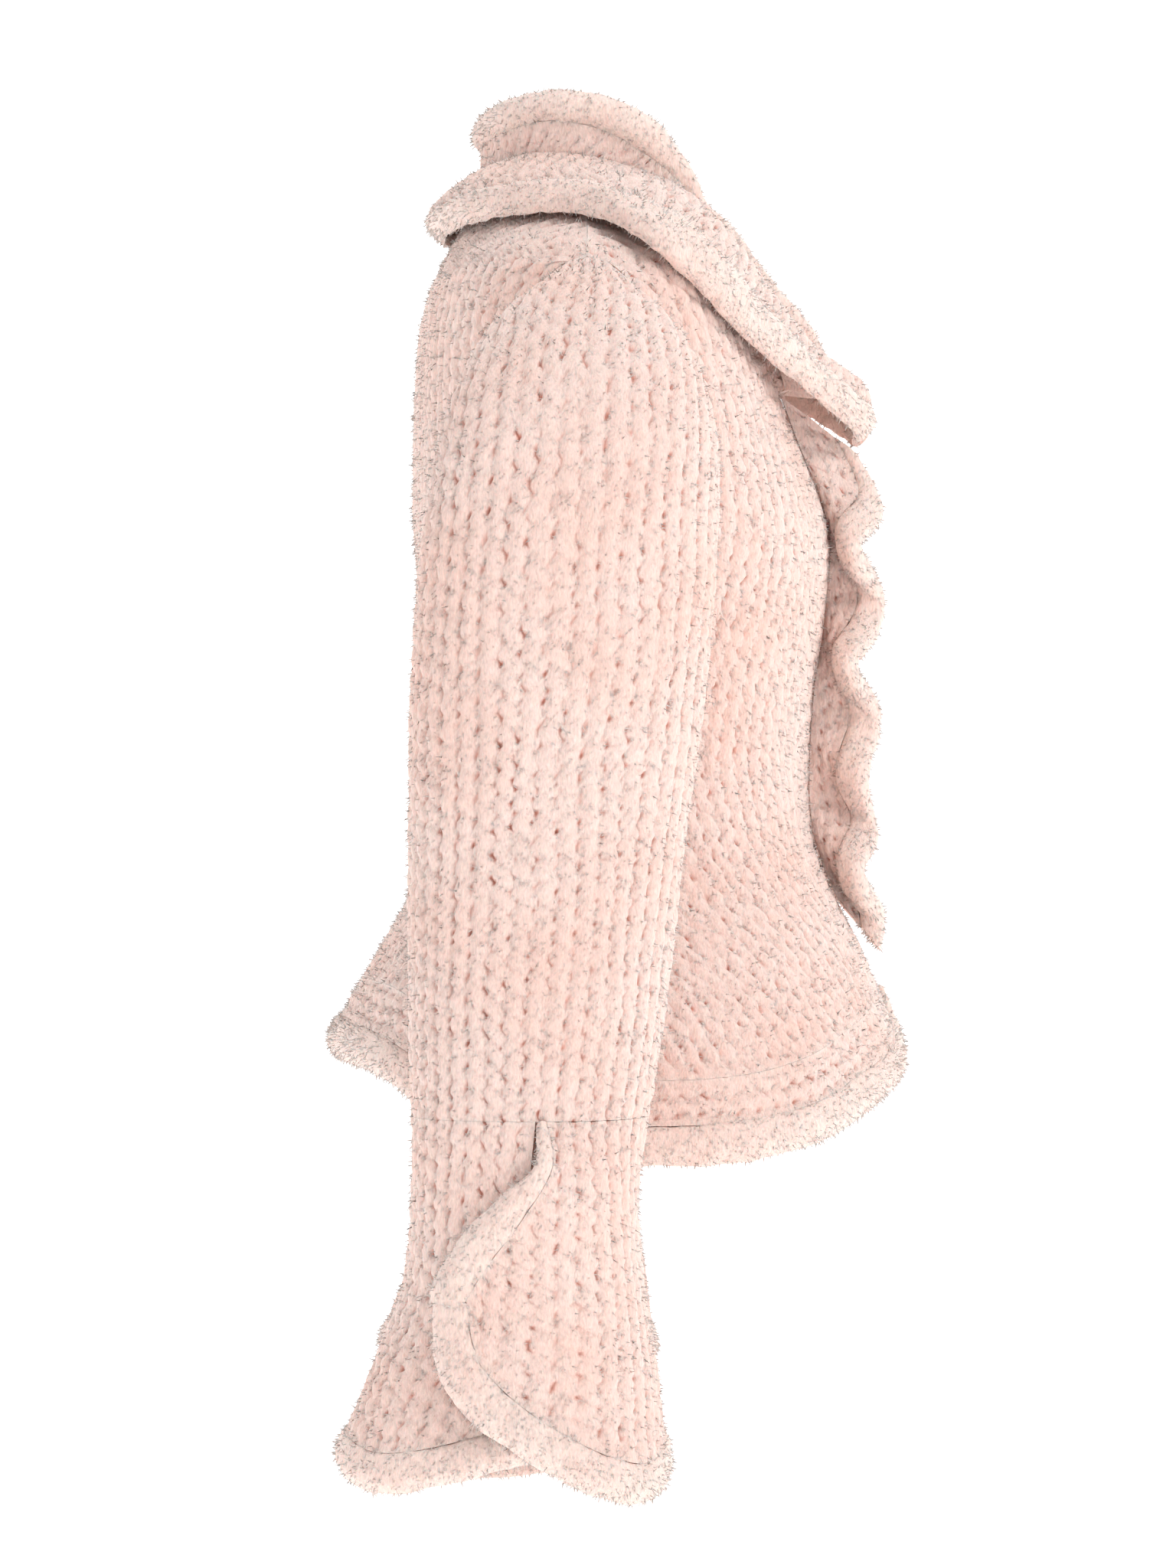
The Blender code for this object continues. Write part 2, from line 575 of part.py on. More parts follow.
def build_body():
    """Fronts and back, each over a crosswise border and a smooth edging along the hem."""
    front, border, band = front_grid()
    back, back_border, back_band = back_grid()
    make_pair("front", *walls(body_point, body_normal, front, FUR_WALL), "knit")
    make_shell("back", *walls(body_point, body_normal, back, FUR_WALL), "knit")
    strip = strip_between(*border, BORDER_SHARES)
    make_pair("hem_border_front", *walls(body_point, body_normal, strip, FUR_WALL), "knit")
    strip = strip_between(*back_border, BORDER_SHARES)
    make_shell("hem_border_back", *walls(body_point, body_normal, strip, FUR_WALL), "knit")
    strip = strip_between(*band, BAND_SHARES)
    make_pair("hem_edging_front", *walls(body_point, body_normal, strip, BAND_DEPTH, BAND_RAISE), "edging")
    strip = strip_between(*back_band, BAND_SHARES)
    make_shell("hem_edging_back", *walls(body_point, body_normal, strip, BAND_DEPTH, BAND_RAISE), "edging")
    return front, back


def mirror_half(half):
    """A path from the right front to the centre back, carried on round to the left front."""
    flip = np.array([-1.0, 1.0, 1.0])
    return list(half) + [point * flip for point in half[-2::-1]]


def eased(vectors):
    """Unit vectors along a path, each averaged with its neighbours."""
    for _ in range(3):
        padded = [vectors[0]] + list(vectors) + [vectors[-1]]
        vectors = [padded[i] + 2 * padded[i + 1] + padded[i + 2] for i in range(len(vectors))]
        vectors = [vector / np.linalg.norm(vector) for vector in vectors]
    return vectors


def neckline(front, back):
    """Turns and heights along the neckline from the right front to the centre back, with the
    points just below them."""
    path = list(zip(front[-1], front[-2]))
    path += [(back[-1][i], back[-2][i]) for i in range(1, BACK_COLUMNS // 2 + 1)]
    fronts = len(front[-1]) - 1
    backs = BACK_COLUMNS // 2
    along = [FRONT_SHARE * i / fronts for i in range(fronts + 1)]
    along += [FRONT_SHARE + (1 - FRONT_SHARE) * i / backs for i in range(1, backs + 1)]
    return path, along


def build_collar(front, back):
    """Standing collar on the neckline with its roll, and the fall over the shoulders."""
    path, along = neckline(front, back)
    base_outer = []
    base_inner = []
    for (turn, height), (low_turn, low_height) in path:
        point = body_point(turn, height)
        away = point - body_point(low_turn, low_height)
        point = point + away / np.linalg.norm(away) * GAP
        base_outer.append(point)
        base_inner.append(point - body_normal(turn, height) * FUR_WALL)
    tops = []
    for s in along:
        x, y, z = (smooth_value(STAND_TOP, "along", name, s) for name in ("x", "y", "z"))
        tops.append(np.array([-x, y, z]))
    across = []
    rises = []
    for i, top in enumerate(tops):
        before = tops[max(i - 1, 0)]
        after = tops[i + 1] if i + 1 < len(tops) else tops[i - 1] * np.array([-1.0, 1.0, 1.0])
        rise = top - (base_outer[i] + base_inner[i]) / 2
        away = np.cross(after - before, rise)
        if np.dot(away, base_outer[i] - base_inner[i]) < 0:
            away = -away
        across.append(away / np.linalg.norm(away))
        rises.append(rise / np.linalg.norm(rise))
    across = eased(across)
    rises = eased(rises)
    across[-1][0] = 0.0
    rises[-1][0] = 0.0
    outer = [[] for _ in STAND_SHARES]
    inner = [[] for _ in STAND_SHARES]
    for i, top in enumerate(tops):
        for k, share in enumerate(STAND_SHARES):
            waist = across[i] * STAND_WAIST * math.sin(math.pi * share)
            half = across[i] * FUR_WALL / 2
            outer[k].append((1 - share) * base_outer[i] + share * (top + half) - waist)
            inner[k].append((1 - share) * base_inner[i] + share * (top - half) - waist)
    make_shell("collar_stand", mirror_rows(outer), mirror_rows(inner), "knit")
    build_roll(tops, across, rises)
    build_fall(path, along, outer, across, rises)


def mirror_rows(rows):
    return [mirror_half(row) for row in rows]


def build_roll(tops, across, rises):
    """Smooth fur roll along the top of the standing collar, tipped outwards."""
    outer = [[] for _ in ROLL_PROFILE]
    inner = [[] for _ in ROLL_PROFILE]
    for top, away, rise in zip(tops, across, rises):
        for k, row in enumerate(ROLL_PROFILE):
            seat = top + rise * (GAP + row.up) + away * row.outer
            outer[k].append(seat)
            inner[k].append(seat - away * row.wall)
    make_shell("collar_roll", mirror_rows(outer), mirror_rows(inner), "edging")


def build_fall(path, along, stand, across, rises):
    """The fall leaves the standing collar and lies over the shoulders, lifted off the panels."""
    knit = [[[], []] for _ in FALL_KNIT_SHARES]
    edging = [[[], []] for _ in FALL_EDGING]
    for i, ((turn, height), _) in enumerate(path):
        s = along[i]
        edge_turn, edge_height, lift = (
            smooth_value(FALL_EDGE, "along", name, s) for name in ("turn", "height", "lift")
        )
        root = (stand[1][i] + stand[2][i]) / 2 + across[i] * FALL_ROOT_GAP

        def resting(share):
            spot = (turn + (edge_turn - turn) * share, height + (edge_height - height) * share)
            out = body_normal(*spot)
            arch = lift + FALL_ARCH * math.sin(math.pi * share)
            return body_point(*spot) + out * arch, out

        def place(share):
            point, out = resting(share)
            weight = 1 - smoothstep(0.0, FALL_ROOT_SHARE, share)
            start, start_out = resting(0.0)
            point = point + (root - start) * weight
            way = out * (1 - weight) + rises[i] * weight
            return point, way / np.linalg.norm(way)

        for k, share in enumerate(FALL_KNIT_SHARES):
            point, way = place(share)
            knit[k][0].append(point + way * FUR_WALL / 2)
            knit[k][1].append(point - way * FUR_WALL / 2)
        seam, way = place(FALL_KNIT_SHARES[-1])
        tip, _ = place(1.0)
        along_fall = (tip - seam) / np.linalg.norm(tip - seam)
        for k, (share, raised, wall) in enumerate(FALL_EDGING):
            if k == 0:
                point = seam + along_fall * GAP
                out = way
            else:
                point, out = place(share)
            edging[k][0].append(point + out * raised)
            edging[k][1].append(point + out * (raised - wall))
    make_shell("collar_fall", mirror_rows([r[0] for r in knit]), mirror_rows([r[1] for r in knit]), "knit")
    edging_outer = mirror_rows([row[0] for row in edging])
    edging_inner = mirror_rows([row[1] for row in edging])
    make_shell("collar_fall_edging", edging_outer, edging_inner, "edging")


def ruffle_paths(front):
    """Root and free edge of the ruffle, with a unit normal of the strip at each point."""
    edge_line = [body_point(*row[0]) for row in front]
    root_x = [-point[0] + RUFFLE_ROOT_IN for point in edge_line]
    seats = [body_point(turn_of(x, point[2]), point[2]) for x, point in zip(root_x, edge_line)]
    heights = [point[2] for point in seats]
    depths = [point[1] for point in seats]
    numbered = [NumberedFold(i, *fold) for i, fold in enumerate(RUFFLE)]
    roots = []
    edges = []
    for i in range((len(RUFFLE) - 1) * RUFFLE_STEPS + 1):
        step = i / RUFFLE_STEPS
        root, side, depth, height = (
            smooth_value(numbered, "number", name, step) for name in Fold._fields
        )
        seat = float(np.interp(root, heights, depths)) - RUFFLE_ROOT_GAP
        roots.append(np.array([-float(np.interp(root, heights, root_x)), seat, root]))
        edges.append(np.array([-side, depth, height]))
    return roots, edges


def build_ruffles(front):
    """A gathered strip down each front edge, its free edge swinging in and out."""
    roots, edges = ruffle_paths(front)
    flat = np.array([-1.0, 0.0, 0.0])
    knit = [[[], []] for _ in RUFFLE_KNIT_SHARES]
    edging = [[[], []] for _ in RUFFLE_EDGING]
    for i, (root, edge) in enumerate(zip(roots, edges)):
        before = max(i - 1, 0)
        after = min(i + 1, len(roots) - 1)
        run = edge - root
        length = np.linalg.norm(run)
        seam = 1.0 - RUFFLE_BAND_WIDTH / length

        def facing(share):
            along = (roots[after] - roots[before]) * (1 - share) + (edges[after] - edges[before]) * share
            out = np.cross(along, run)
            out = out / np.linalg.norm(out)
            mix = smoothstep(0.0, RUFFLE_FLAT_SHARE, share)
            out = out * mix + flat * (1 - mix)
            return out / np.linalg.norm(out)

        for k, share in enumerate(RUFFLE_KNIT_SHARES):
            out = facing(share * seam)
            point = root + run * share * seam
            knit[k][0].append(point + out * RUFFLE_WALL / 2)
            knit[k][1].append(point - out * RUFFLE_WALL / 2)
        out = facing(seam)
        for k, (share, raised, wall) in enumerate(RUFFLE_EDGING):
            point = root + run * seam + run / length * (GAP + (RUFFLE_BAND_WIDTH - GAP) * share)
            edging[k][0].append(point + out * raised)
            edging[k][1].append(point + out * (raised - wall))
    make_pair("ruffle", [row[0] for row in knit], [row[1] for row in knit], "knit")
    make_pair("ruffle_edging", [row[0] for row in edging], [row[1] for row in edging], "edging")


front_panel, back_panel = build_body()
build_sleeves()
build_cuffs()
build_collar(front_panel, back_panel)
build_ruffles(front_panel)
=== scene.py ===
# %% [markdown]
# # A knitted fur jacket, lesson by lesson
# The real jacket is knitted from strips of dyed fur on a net ground. Its panels are thick ribs of
# plump stitches, and its edges are bands of smooth, dense pile. It is shown filled out as if worn:
# hollow, open at the neck, down the front, at the hem and at the cuffs.
#
# The CAD model gives each piece as a plain wall. Here each wall is replaced by a finer one from the
# same tables: first a smooth grid, then stitches pushed into its face, then a pile of short tufts.

# %% Start from the CAD frame
import math
from collections import namedtuple

import bpy
import numpy as np
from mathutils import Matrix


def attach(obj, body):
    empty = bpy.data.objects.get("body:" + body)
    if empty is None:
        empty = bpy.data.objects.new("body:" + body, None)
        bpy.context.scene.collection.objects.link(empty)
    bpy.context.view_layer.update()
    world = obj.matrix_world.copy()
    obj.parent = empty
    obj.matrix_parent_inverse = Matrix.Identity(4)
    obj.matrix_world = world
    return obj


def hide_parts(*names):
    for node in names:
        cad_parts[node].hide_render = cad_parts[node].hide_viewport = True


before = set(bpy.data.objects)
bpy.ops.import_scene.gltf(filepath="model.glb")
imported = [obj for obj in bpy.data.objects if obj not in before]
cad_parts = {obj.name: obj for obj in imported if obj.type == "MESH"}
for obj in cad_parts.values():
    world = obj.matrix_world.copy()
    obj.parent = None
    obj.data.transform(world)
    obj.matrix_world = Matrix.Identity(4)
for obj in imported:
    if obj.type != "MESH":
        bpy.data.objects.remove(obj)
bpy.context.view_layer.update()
print("CAD nodes:", len(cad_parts))

# %% [markdown]
# The camera comes first, so that every later step can be looked at. The photograph is taken level,
# square to the wearer's right side and from far away, so the lens is a long one.

# %% Camera
CAMERA_SPOT = (-3.1, 0.0116, -0.349)
SENSOR = 36.0
FRAME_HEIGHT = 0.931     # metres of the centre plane that fill the picture from top to bottom


def placed(name, data):
    """An object in the scene with this data."""
    thing = bpy.data.objects.new(name, data)
    bpy.context.scene.collection.objects.link(thing)
    return thing


camera_data = bpy.data.cameras.new("camera")
camera_data.sensor_width = SENSOR
camera_data.lens = SENSOR * -CAMERA_SPOT[0] / FRAME_HEIGHT
camera = placed("camera", camera_data)
camera.location = CAMERA_SPOT
camera.rotation_euler = (math.radians(90), 0.0, math.radians(-90))
bpy.context.scene.camera = camera
print("lens", round(camera_data.lens, 1), "mm")

# %% [markdown]
# ## Sizes of the garment
# All sizes are millimetres until a mesh is made. The body is a stack of rings. A ring has a width,
# a depth to the front and to the back, and a power that makes it rounder or squarer.

# %% Walls and the rings of the body
MM = 0.001
GAP = 0.4            # between pieces at a seam
FUR_WALL = 8.0       # knitted fur, pile included
BAND_WALL = 11.0     # smooth fur edging at its fullest
BAND_WIDTH = 21.0    # width of the edging
# Section of a flat edging: shares across it, how far its face is raised, and its wall.
BAND_SHARES = (0.0, 0.3, 0.72, 1.0)
BAND_RAISE = np.array([0.0, 2.5, 2.5, -2.5])[:, None]
BAND_DEPTH = np.array([FUR_WALL, BAND_WALL, BAND_WALL - 1.0, 4.0])[:, None]
BORDER_SHARES = (0.0, 0.5, 1.0)


def table(names, *rows):
    """Rows of numbers with named columns."""
    kind = namedtuple("Row", names)
    return [kind(*row) for row in rows]


# Rings of the body, from the neck down. Depths run from the side line to the front and the back.
BODY = table("height half_width front back side_y power",
    (8, 56, 46, 58, 9, 2.0),
    (0, 68, 55, 64, 10, 2.0),
    (-12, 96, 66, 71, 11, 2.0),
    (-28, 134, 74, 79, 12, 2.0),
    (-42, 168, 81, 86, 12, 2.0),
    (-54, 184, 87, 92, 12, 2.05),
    (-85, 188, 99, 101, 11, 2.1),
    (-140, 183, 117, 107, 8, 2.2),
    (-200, 176, 135, 110, 5, 2.3),
    (-250, 165, 131, 107, 3, 2.3),
    (-290, 154, 124, 101, 2, 2.3),
    (-335, 148, 119, 97, 0, 2.3),
    (-380, 156, 121, 103, 0, 2.3),
    (-414, 169, 134, 117, 0, 2.3),
    (-447, 186, 151, 136, 0, 2.3),
    (-484, 203, 166, 157, 0, 2.3),
    (-510, 212, 175, 165, 0, 2.3),
    (-565, 221, 185, 174, 0, 2.3),
)
print("body rings:", len(BODY))

# %% [markdown]
# The hem rises at the front edges and at the back. Its height is given against the turn round the
# body, because that is how a cutter would walk a tape round it.

# %% Hem, armhole and neckline
# The garment's lower edge, as turns round the body (0 front, 0.5 side, 1 back) and height.
FRONT_HEM = table("turn height",
    (0.008, -470), (0.020, -494), (0.050, -512), (0.100, -521),
    (0.150, -527), (0.200, -534), (0.250, -543), (0.300, -550),
    (0.350, -555), (0.400, -558), (0.450, -559), (0.500, -559),
)
BACK_HEM = table("turn height",
    (0.50, -559), (0.58, -556), (0.65, -544), (0.72, -525),
    (0.78, -513), (0.86, -508), (1.00, -506),
)
BACK_COLUMNS = 16
ROWS_BELOW_ARMHOLE = 9
ROWS_OVER_SHOULDER = 4
NECK_SPACING_POWER = 5   # how late the columns take the neckline's spacing
FRONT_TURN = 0.005       # the front edge's turn, just off the centre line
SEAM_TURN = 0.0005       # half the gap at a side seam
BORDER_WIDTH = 25.0      # crosswise knitted border over the hem edging
FRONT_BAND_WIDTHS = (4.0, 13.0, 21.0)        # edging widths from the front edge on
FRONT_BORDER_WIDTHS = (8.0, 16.0, 21.0, 25.0)

# Armhole: an ellipse in turns and height, round the side line.
ARMHOLE_MIDDLE = -138
ARMHOLE_HALF_HEIGHT = 84
ARMHOLE_HALF_TURN = 0.14
ARMHOLE_GAP_TURN = 0.0012
ARM_POINTS = 20

NECK_FRONT_DROP = 118
NECK_BACK_DROP = 10
NECK_FRONT_X = 24
NECK_SIDE_X = 68
NECK_BEND = 0.85         # below 1 the front neckline swings outwards early
LOWER_SWING = 0.35       # share of the front edge's height over which it leaves the hem's corner
UPPER_SWING = 0.68       # share of its height from which it runs to the neckline
FRONT_SHARE = 0.52       # of the neckline from the front edge to the centre back
print("hem points:", len(FRONT_HEM) + len(BACK_HEM))

# %% [markdown]
# A sleeve leaves the armhole sideways and turns down to hang straight. Each section is a ring given
# by its outer and inner points, so the top rings can lean while the lower ones lie level.

# %% Sleeves and bell cuffs
# Sections of the arm: distance down it, the outer and inner points of its ring, and its
# front and back lines. X is counted away from the centre line.
ARM = table("down out_x out_z in_x in_z front_y back_y",
    (0, 222, -72, 189, -214, -52, 80),
    (45, 258, -106, 197, -222, -60, 93),
    (95, 283, -152, 201, -236, -61, 100),
    (145, 295, -205, 200, -256, -59, 105),
    (200, 299, -262, 197, -287, -56, 108),
    (257, 302, -322, 196, -326, -50, 110),
    (315, 307, -380, 200, -380, -42, 110),
    (385, 317, -450, 213, -450, -34, 110),
    (445, 327, -510, 227, -510, -25, 108),
    (480, 332, -545, 233, -545, -19, 107),
    (525, 334, -590, 233, -590, -16, 109),
    (570, 337, -635, 230, -635, -22, 116),
    (610, 343, -675, 225, -675, -28, 135),
    (645, 348, -710, 221, -710, -31, 145),
    (680, 348, -745, 221, -745, -31, 147),
)
ARM_POWER = 2.2
ARM_DROP = 65            # height is minus (down + this) below the elbow
SLEEVE_STEPS = [0, 28, 58, 95, 132, 172, 215, 265, 315, 365, 415, 463]

# Edge of the bell cuff, from the top of the slit down the front lobe's free edge, round the hem
# and up to the end under the lap. Angles: 0 front, 90 outer side, -180 back, -270 outer side.
CUFF_SLIT = table("angle height",
    (87, -528.4), (87, -549), (99, -568), (116, -590),
    (128, -615),
)
CUFF_HEM = table("angle height",
    (128, -615), (124, -643), (112, -669), (94, -693),
    (76, -712), (58, -725), (38, -731), (16, -727),
    (-8, -719), (-34, -718), (-60, -724), (-90, -730),
    (-118, -729), (-145, -722), (-170, -716), (-194, -720),
    (-218, -725), (-240, -723), (-260, -716), (-280, -706),
)
CUFF_LAP_END = table("angle height",
    (-280, -685), (-279, -592), (-269, -555), (-272, -528.4),
)
CUFF_STEPS = 2           # grid columns for each row of the hem's table
CUFF_BAND_START = 5.0    # width of its edging at the top of the slit
CUFF_BAND_GROWTH = 5.5   # more for each row of the table
CUFF_LIFT = 12.0         # how far the front lobe stands off the back one
CUFF_LIFT_HEIGHTS = (-526, -560)
CUFF_LIFT_ANGLES = (5, 70)
print("arm sections:", len(ARM))

# %% [markdown]
# The collar stands up behind the neck, with a fat roll along its top, and a fall leaves it half way
# up and lies over the shoulders. The ruffles are gathered strips: their free edges are longer than
# their roots, so they swing out and in.

# %% Collar and ruffles
# Standing collar: its upper edge, from the front end (0) to the centre back (1).
STAND_TOP = table("along x y z",
    (0.00, 12, -114, -112), (0.08, 17, -107, -93), (0.16, 26, -86, -67),
    (0.24, 31, -75, -48), (0.32, 42, -54, -25), (0.40, 48, -45, -6),
    (0.50, 57, -24, 14), (0.62, 62, 2, 30), (0.74, 58, 33, 36),
    (0.88, 37, 60, 31), (1.00, 0, 72, 26),
)
STAND_SHARES = (0.0, 0.33, 0.67, 1.0)
STAND_WAIST = 2.0        # how far its middle draws in
# Section of the roll: height over the stand, outer face and wall.
ROLL_PROFILE = table("up outer wall", (0, 4, 8), (5, 9, 14), (14, 10, 14), (20, 5, 6))

# Fall of the collar: its free edge, in turns and height on the body, and how far it stands off.
FALL_EDGE = table("along turn height lift",
    (0.00, 0.028, -160, 37), (0.04, 0.052, -154, 36), (0.08, 0.082, -143, 31),
    (0.14, 0.128, -123, 20), (0.28, 0.208, -97, 10), (0.40, 0.290, -72, 8),
    (0.50, 0.390, -46, 8), (0.60, 0.500, -31, 8), (0.74, 0.640, -28, 8),
    (0.88, 0.820, -29, 9), (1.00, 1.000, -30, 9),
)
FALL_ARCH = 9.0          # how far the fall rises over a straight drop
FALL_ROOT_GAP = 1.0
FALL_ROOT_SHARE = 0.4    # share of its width over which it leaves the standing collar
FALL_KNIT_SHARES = (0.0, 0.16, 0.4, 0.72)
# Section of an edging: how far across it, its outer face and its wall.
FALL_EDGING = table("share raised wall", (0.72, 4, 8), (0.8, 6.5, 12), (0.93, 5.5, 11), (1, 1.5, 5))
# Free edge of the front ruffle, a row for each turn of its folds: how far down its root is,
# then the edge's distance from the centre line, its depth and its height.
RUFFLE = table("root side front height",
    (-122, 14, -147, -156), (-131, 12, -154, -168), (-141, 12, -159, -180), (-151, 17, -161, -191),
    (-161, 30, -157, -199), (-172, 42, -150, -205), (-183, 48, -145, -213), (-193, 43, -148, -223),
    (-202, 31, -154, -229), (-211, 18, -161, -236), (-220, 12, -163, -246), (-229, 14, -161, -257),
    (-238, 24, -157, -265), (-248, 37, -150, -271), (-258, 46, -142, -279), (-268, 43, -145, -289),
    (-278, 31, -152, -296), (-288, 18, -160, -304), (-298, 12, -161, -315), (-308, 15, -159, -326),
    (-318, 24, -155, -335), (-328, 30, -152, -345), (-337, 26, -153, -356), (-345, 17, -157, -366),
    (-353, 14, -160, -377), (-361, 20, -158, -387), (-369, 32, -154, -392), (-377, 42, -149, -400),
    (-385, 44, -150, -411), (-393, 36, -155, -419), (-401, 25, -161, -427), (-409, 17, -163, -436),
    (-416, 14, -161, -447),
)
RUFFLE_ROOT_IN = 7.0      # from the front edge
RUFFLE_ROOT_GAP = 0.7
RUFFLE_WALL = 7.0
RUFFLE_FLAT_SHARE = 0.5  # share of its width over which it leaves the front edge's plane
RUFFLE_BAND_WIDTH = 20.0
RUFFLE_KNIT_SHARES = (0.0, 0.45, 1.0)
RUFFLE_EDGING = table("share raised wall", (0, 3.5, 7), (0.25, 6.5, 13), (0.78, 6, 12), (1, 2.5, 5))
RUFFLE_STEPS = 2         # grid columns for each row of the table
print("collar points:", len(STAND_TOP), "ruffle folds:", len(RUFFLE))

# %% [markdown]
# ## Curves and surfaces
# A cubic curve through each column of a table gives every size between two rows. From those sizes
# come three surfaces: the body, the arm, and the cuff, whose front lobe is lifted over its back end.

# %% Smooth values from a table
def unit(vectors):
    return vectors / np.linalg.norm(vectors, axis=-1, keepdims=True)


def smooth(rows, at, key=0):
    """Cubic curves through all columns of a table, read where its key column is at."""
    rows = np.array(sorted(rows, key=lambda row: row[key]), dtype=float)
    keys = rows[:, key]
    last = len(keys) - 1
    at = min(max(at, keys[0]), keys[-1])
    i = min(max(int(np.searchsorted(keys, at)) - 1, 0), last - 1)
    slopes = []
    for j in (i, i + 1):
        before, after = max(j - 1, 0), min(j + 1, last)
        slopes.append((rows[after] - rows[before]) / (keys[after] - keys[before]))
    span = keys[i + 1] - keys[i]
    s = (at - keys[i]) / span
    level = rows[i] * (2 * s**3 - 3 * s**2 + 1) + rows[i + 1] * (3 * s**2 - 2 * s**3)
    return level + slopes[0] * span * (s**3 - 2 * s**2 + s) + slopes[1] * span * (s**3 - s**2)


def smooth_row(rows, at):
    return type(rows[0])(*smooth(rows, at))


def at_number(rows, number):
    """A table read at a row number, whole or not."""
    return smooth([(i, *row) for i, row in enumerate(rows)], number)[1:]


def smoothstep(low, high, value):
    s = np.clip((value - low) / (high - low), 0.0, 1.0)
    return s * s * (3 - 2 * s)


def power_of(value, power):
    """A sine or cosine bent for a squarer or rounder ring."""
    return math.copysign(abs(value) ** (2 / power), value)

print("width at the waist:", round(smooth_row(BODY, -335).half_width * 2), "mm")

# %% Points on the three surfaces, and which way is out
# A place on a surface is two numbers, the second in millimetres. The step is for the first, and the
# side is -1 where the cross product of the two tangents points inwards.
Surface = namedtuple("Surface", "point step side")


def tangents(surface, p, q):
    """How far a point moves for one more of each of the two numbers."""
    along_p = surface.point(p + surface.step, q) - surface.point(p - surface.step, q)
    along_q = surface.point(p, q + 1.0) - surface.point(p, q - 1.0)
    return along_p / (2 * surface.step), along_q / 2


def outward(surface, p, q):
    return surface.side * unit(np.cross(*tangents(surface, p, q)))


def body_point(turn, height):
    """Outer surface of the body. Turns past 1, or below 0, are on the wearer's left."""
    ring = smooth_row(BODY, height)
    across = power_of(math.sin(math.pi * turn), ring.power)
    forward = power_of(math.cos(math.pi * turn), ring.power)
    depth = ring.front if forward > 0 else ring.back
    return np.array([-ring.half_width * across, ring.side_y - depth * forward, height])


def arm_point(angle, down):
    """Outer surface of the right sleeve and cuff, by angle round it and distance down it."""
    ring = smooth_row(ARM, down)
    outer = np.array([-ring.out_x, 0.0, ring.out_z])
    inner = np.array([-ring.in_x, 0.0, ring.in_z])
    across = power_of(math.sin(math.radians(angle)), ARM_POWER)
    forward = power_of(math.cos(math.radians(angle)), ARM_POWER)
    y = (ring.front_y + ring.back_y - (ring.back_y - ring.front_y) * forward) / 2
    return (outer + inner) / 2 + (outer - inner) / 2 * across + np.array([0.0, y, 0.0])


def cuff_point(angle, height):
    """Outer surface of the cuff, its front lobe lifted clear of the back one."""
    down = -height - ARM_DROP
    lift = CUFF_LIFT * smoothstep(*CUFF_LIFT_ANGLES, angle) * smoothstep(*CUFF_LIFT_HEIGHTS, height)
    return arm_point(angle, down) + lift * outward(ON_ARM, angle, down)


ON_BODY = Surface(body_point, 0.004, -1.0)
ON_ARM = Surface(arm_point, 1.0, 1.0)
ON_CUFF = Surface(cuff_point, 1.0, -1.0)
print("elbow, outer side:", arm_point(90, 200).round(0))
print("out at the chest:", outward(ON_BODY, 0.1, -150).round(2))

# %% [markdown]
# ## Panels
# A panel is a grid of places on a surface. Its borders are found first: the hem and lines offset
# from it, the armhole, and the neckline. The inside is then filled between the borders. A wall is
# two such grids, one on the face and one a wall's thickness under it.

# %% Walls and offset lines
def seated(surface, places):
    """The points at a grid of places, and the unit vectors that point out there."""
    shape = (*np.shape(places)[:-1], 3)
    flat = np.reshape(places, (-1, 2))
    points = np.array([surface.point(*place) for place in flat])
    ways = np.array([outward(surface, *place) for place in flat])
    return points.reshape(shape), ways.reshape(shape)


def sandwich(seats, ways, raised, wall):
    """The outer grid of a wall, raised off its seats, and the inner one under it."""
    outer = seats + ways * raised
    return outer, outer - ways * wall


def walls(surface, places, wall=FUR_WALL, raised=0.0):
    return sandwich(*seated(surface, places), raised, wall)


def strides(path):
    """From the point before each point of a path to the point after it."""
    padded = np.concatenate([path[:1], path, path[-1:]])
    return padded[2:] - padded[:-2]


def inset(surface, edge, widths, side=1.0):
    """A path moved sideways over a surface, by a width in millimetres at each point."""
    moved = []
    for place, run, width in zip(edge, strides(edge), widths):
        scale = np.linalg.norm(tangents(surface, *place), axis=1)
        run = unit(run * scale)
        moved.append(place + side * width * np.array([-run[1], run[0]]) / scale)
    return np.array(moved)


def strip_between(inner_path, edge_path, shares):
    """Places across a strip, from one edge to the other."""
    shares = np.array(shares)[:, None]
    return (1 - shares) * inner_path[:, None] + shares * edge_path[:, None]


def edging(surface, seam, edge):
    return walls(surface, strip_between(seam, edge, BAND_SHARES), BAND_DEPTH, BAND_RAISE)

# %% Filling a panel between its borders
def shares_along(path, axis):
    return (path[:, axis] - path[0, axis]) / (path[-1, axis] - path[0, axis])


def fill_panel(bottom, top, left, right, both_notched):
    """Places on a body panel. Columns keep their places between the side borders and take the
    neckline's own spacing only near the top."""
    w = shares_along(right, 1)[:, None]
    upper = w**NECK_SPACING_POWER
    start = left[0, 0] if both_notched else left[:, :1]
    share = (1 - upper) * shares_along(bottom, 0) + upper * shares_along(top, 0)
    turn = start + (right[0, 0] - start) * share
    turn = turn + (right[:, :1] - right[0, 0]) * share**2 + (left[:, :1] - start) * (1 - share) ** 2
    return np.stack([turn, (1 - w) * bottom[:, 1] + w * top[:, 1]], axis=-1)


def fill_patch(bottom, top, left, right):
    """Places between four border paths that share their corners."""
    u = shares_along(bottom, 0)[:, None]
    w = shares_along(right, 1)[:, None, None]
    sides = (1 - w) * bottom + w * top + (1 - u) * left[:, None] + u * right[:, None]
    corners = (1 - w) * ((1 - u) * bottom[0] + u * bottom[-1]) + w * ((1 - u) * top[0] + u * top[-1])
    return sides - corners

# %% Borders of the body panels
SIDE_TURN = 0.5


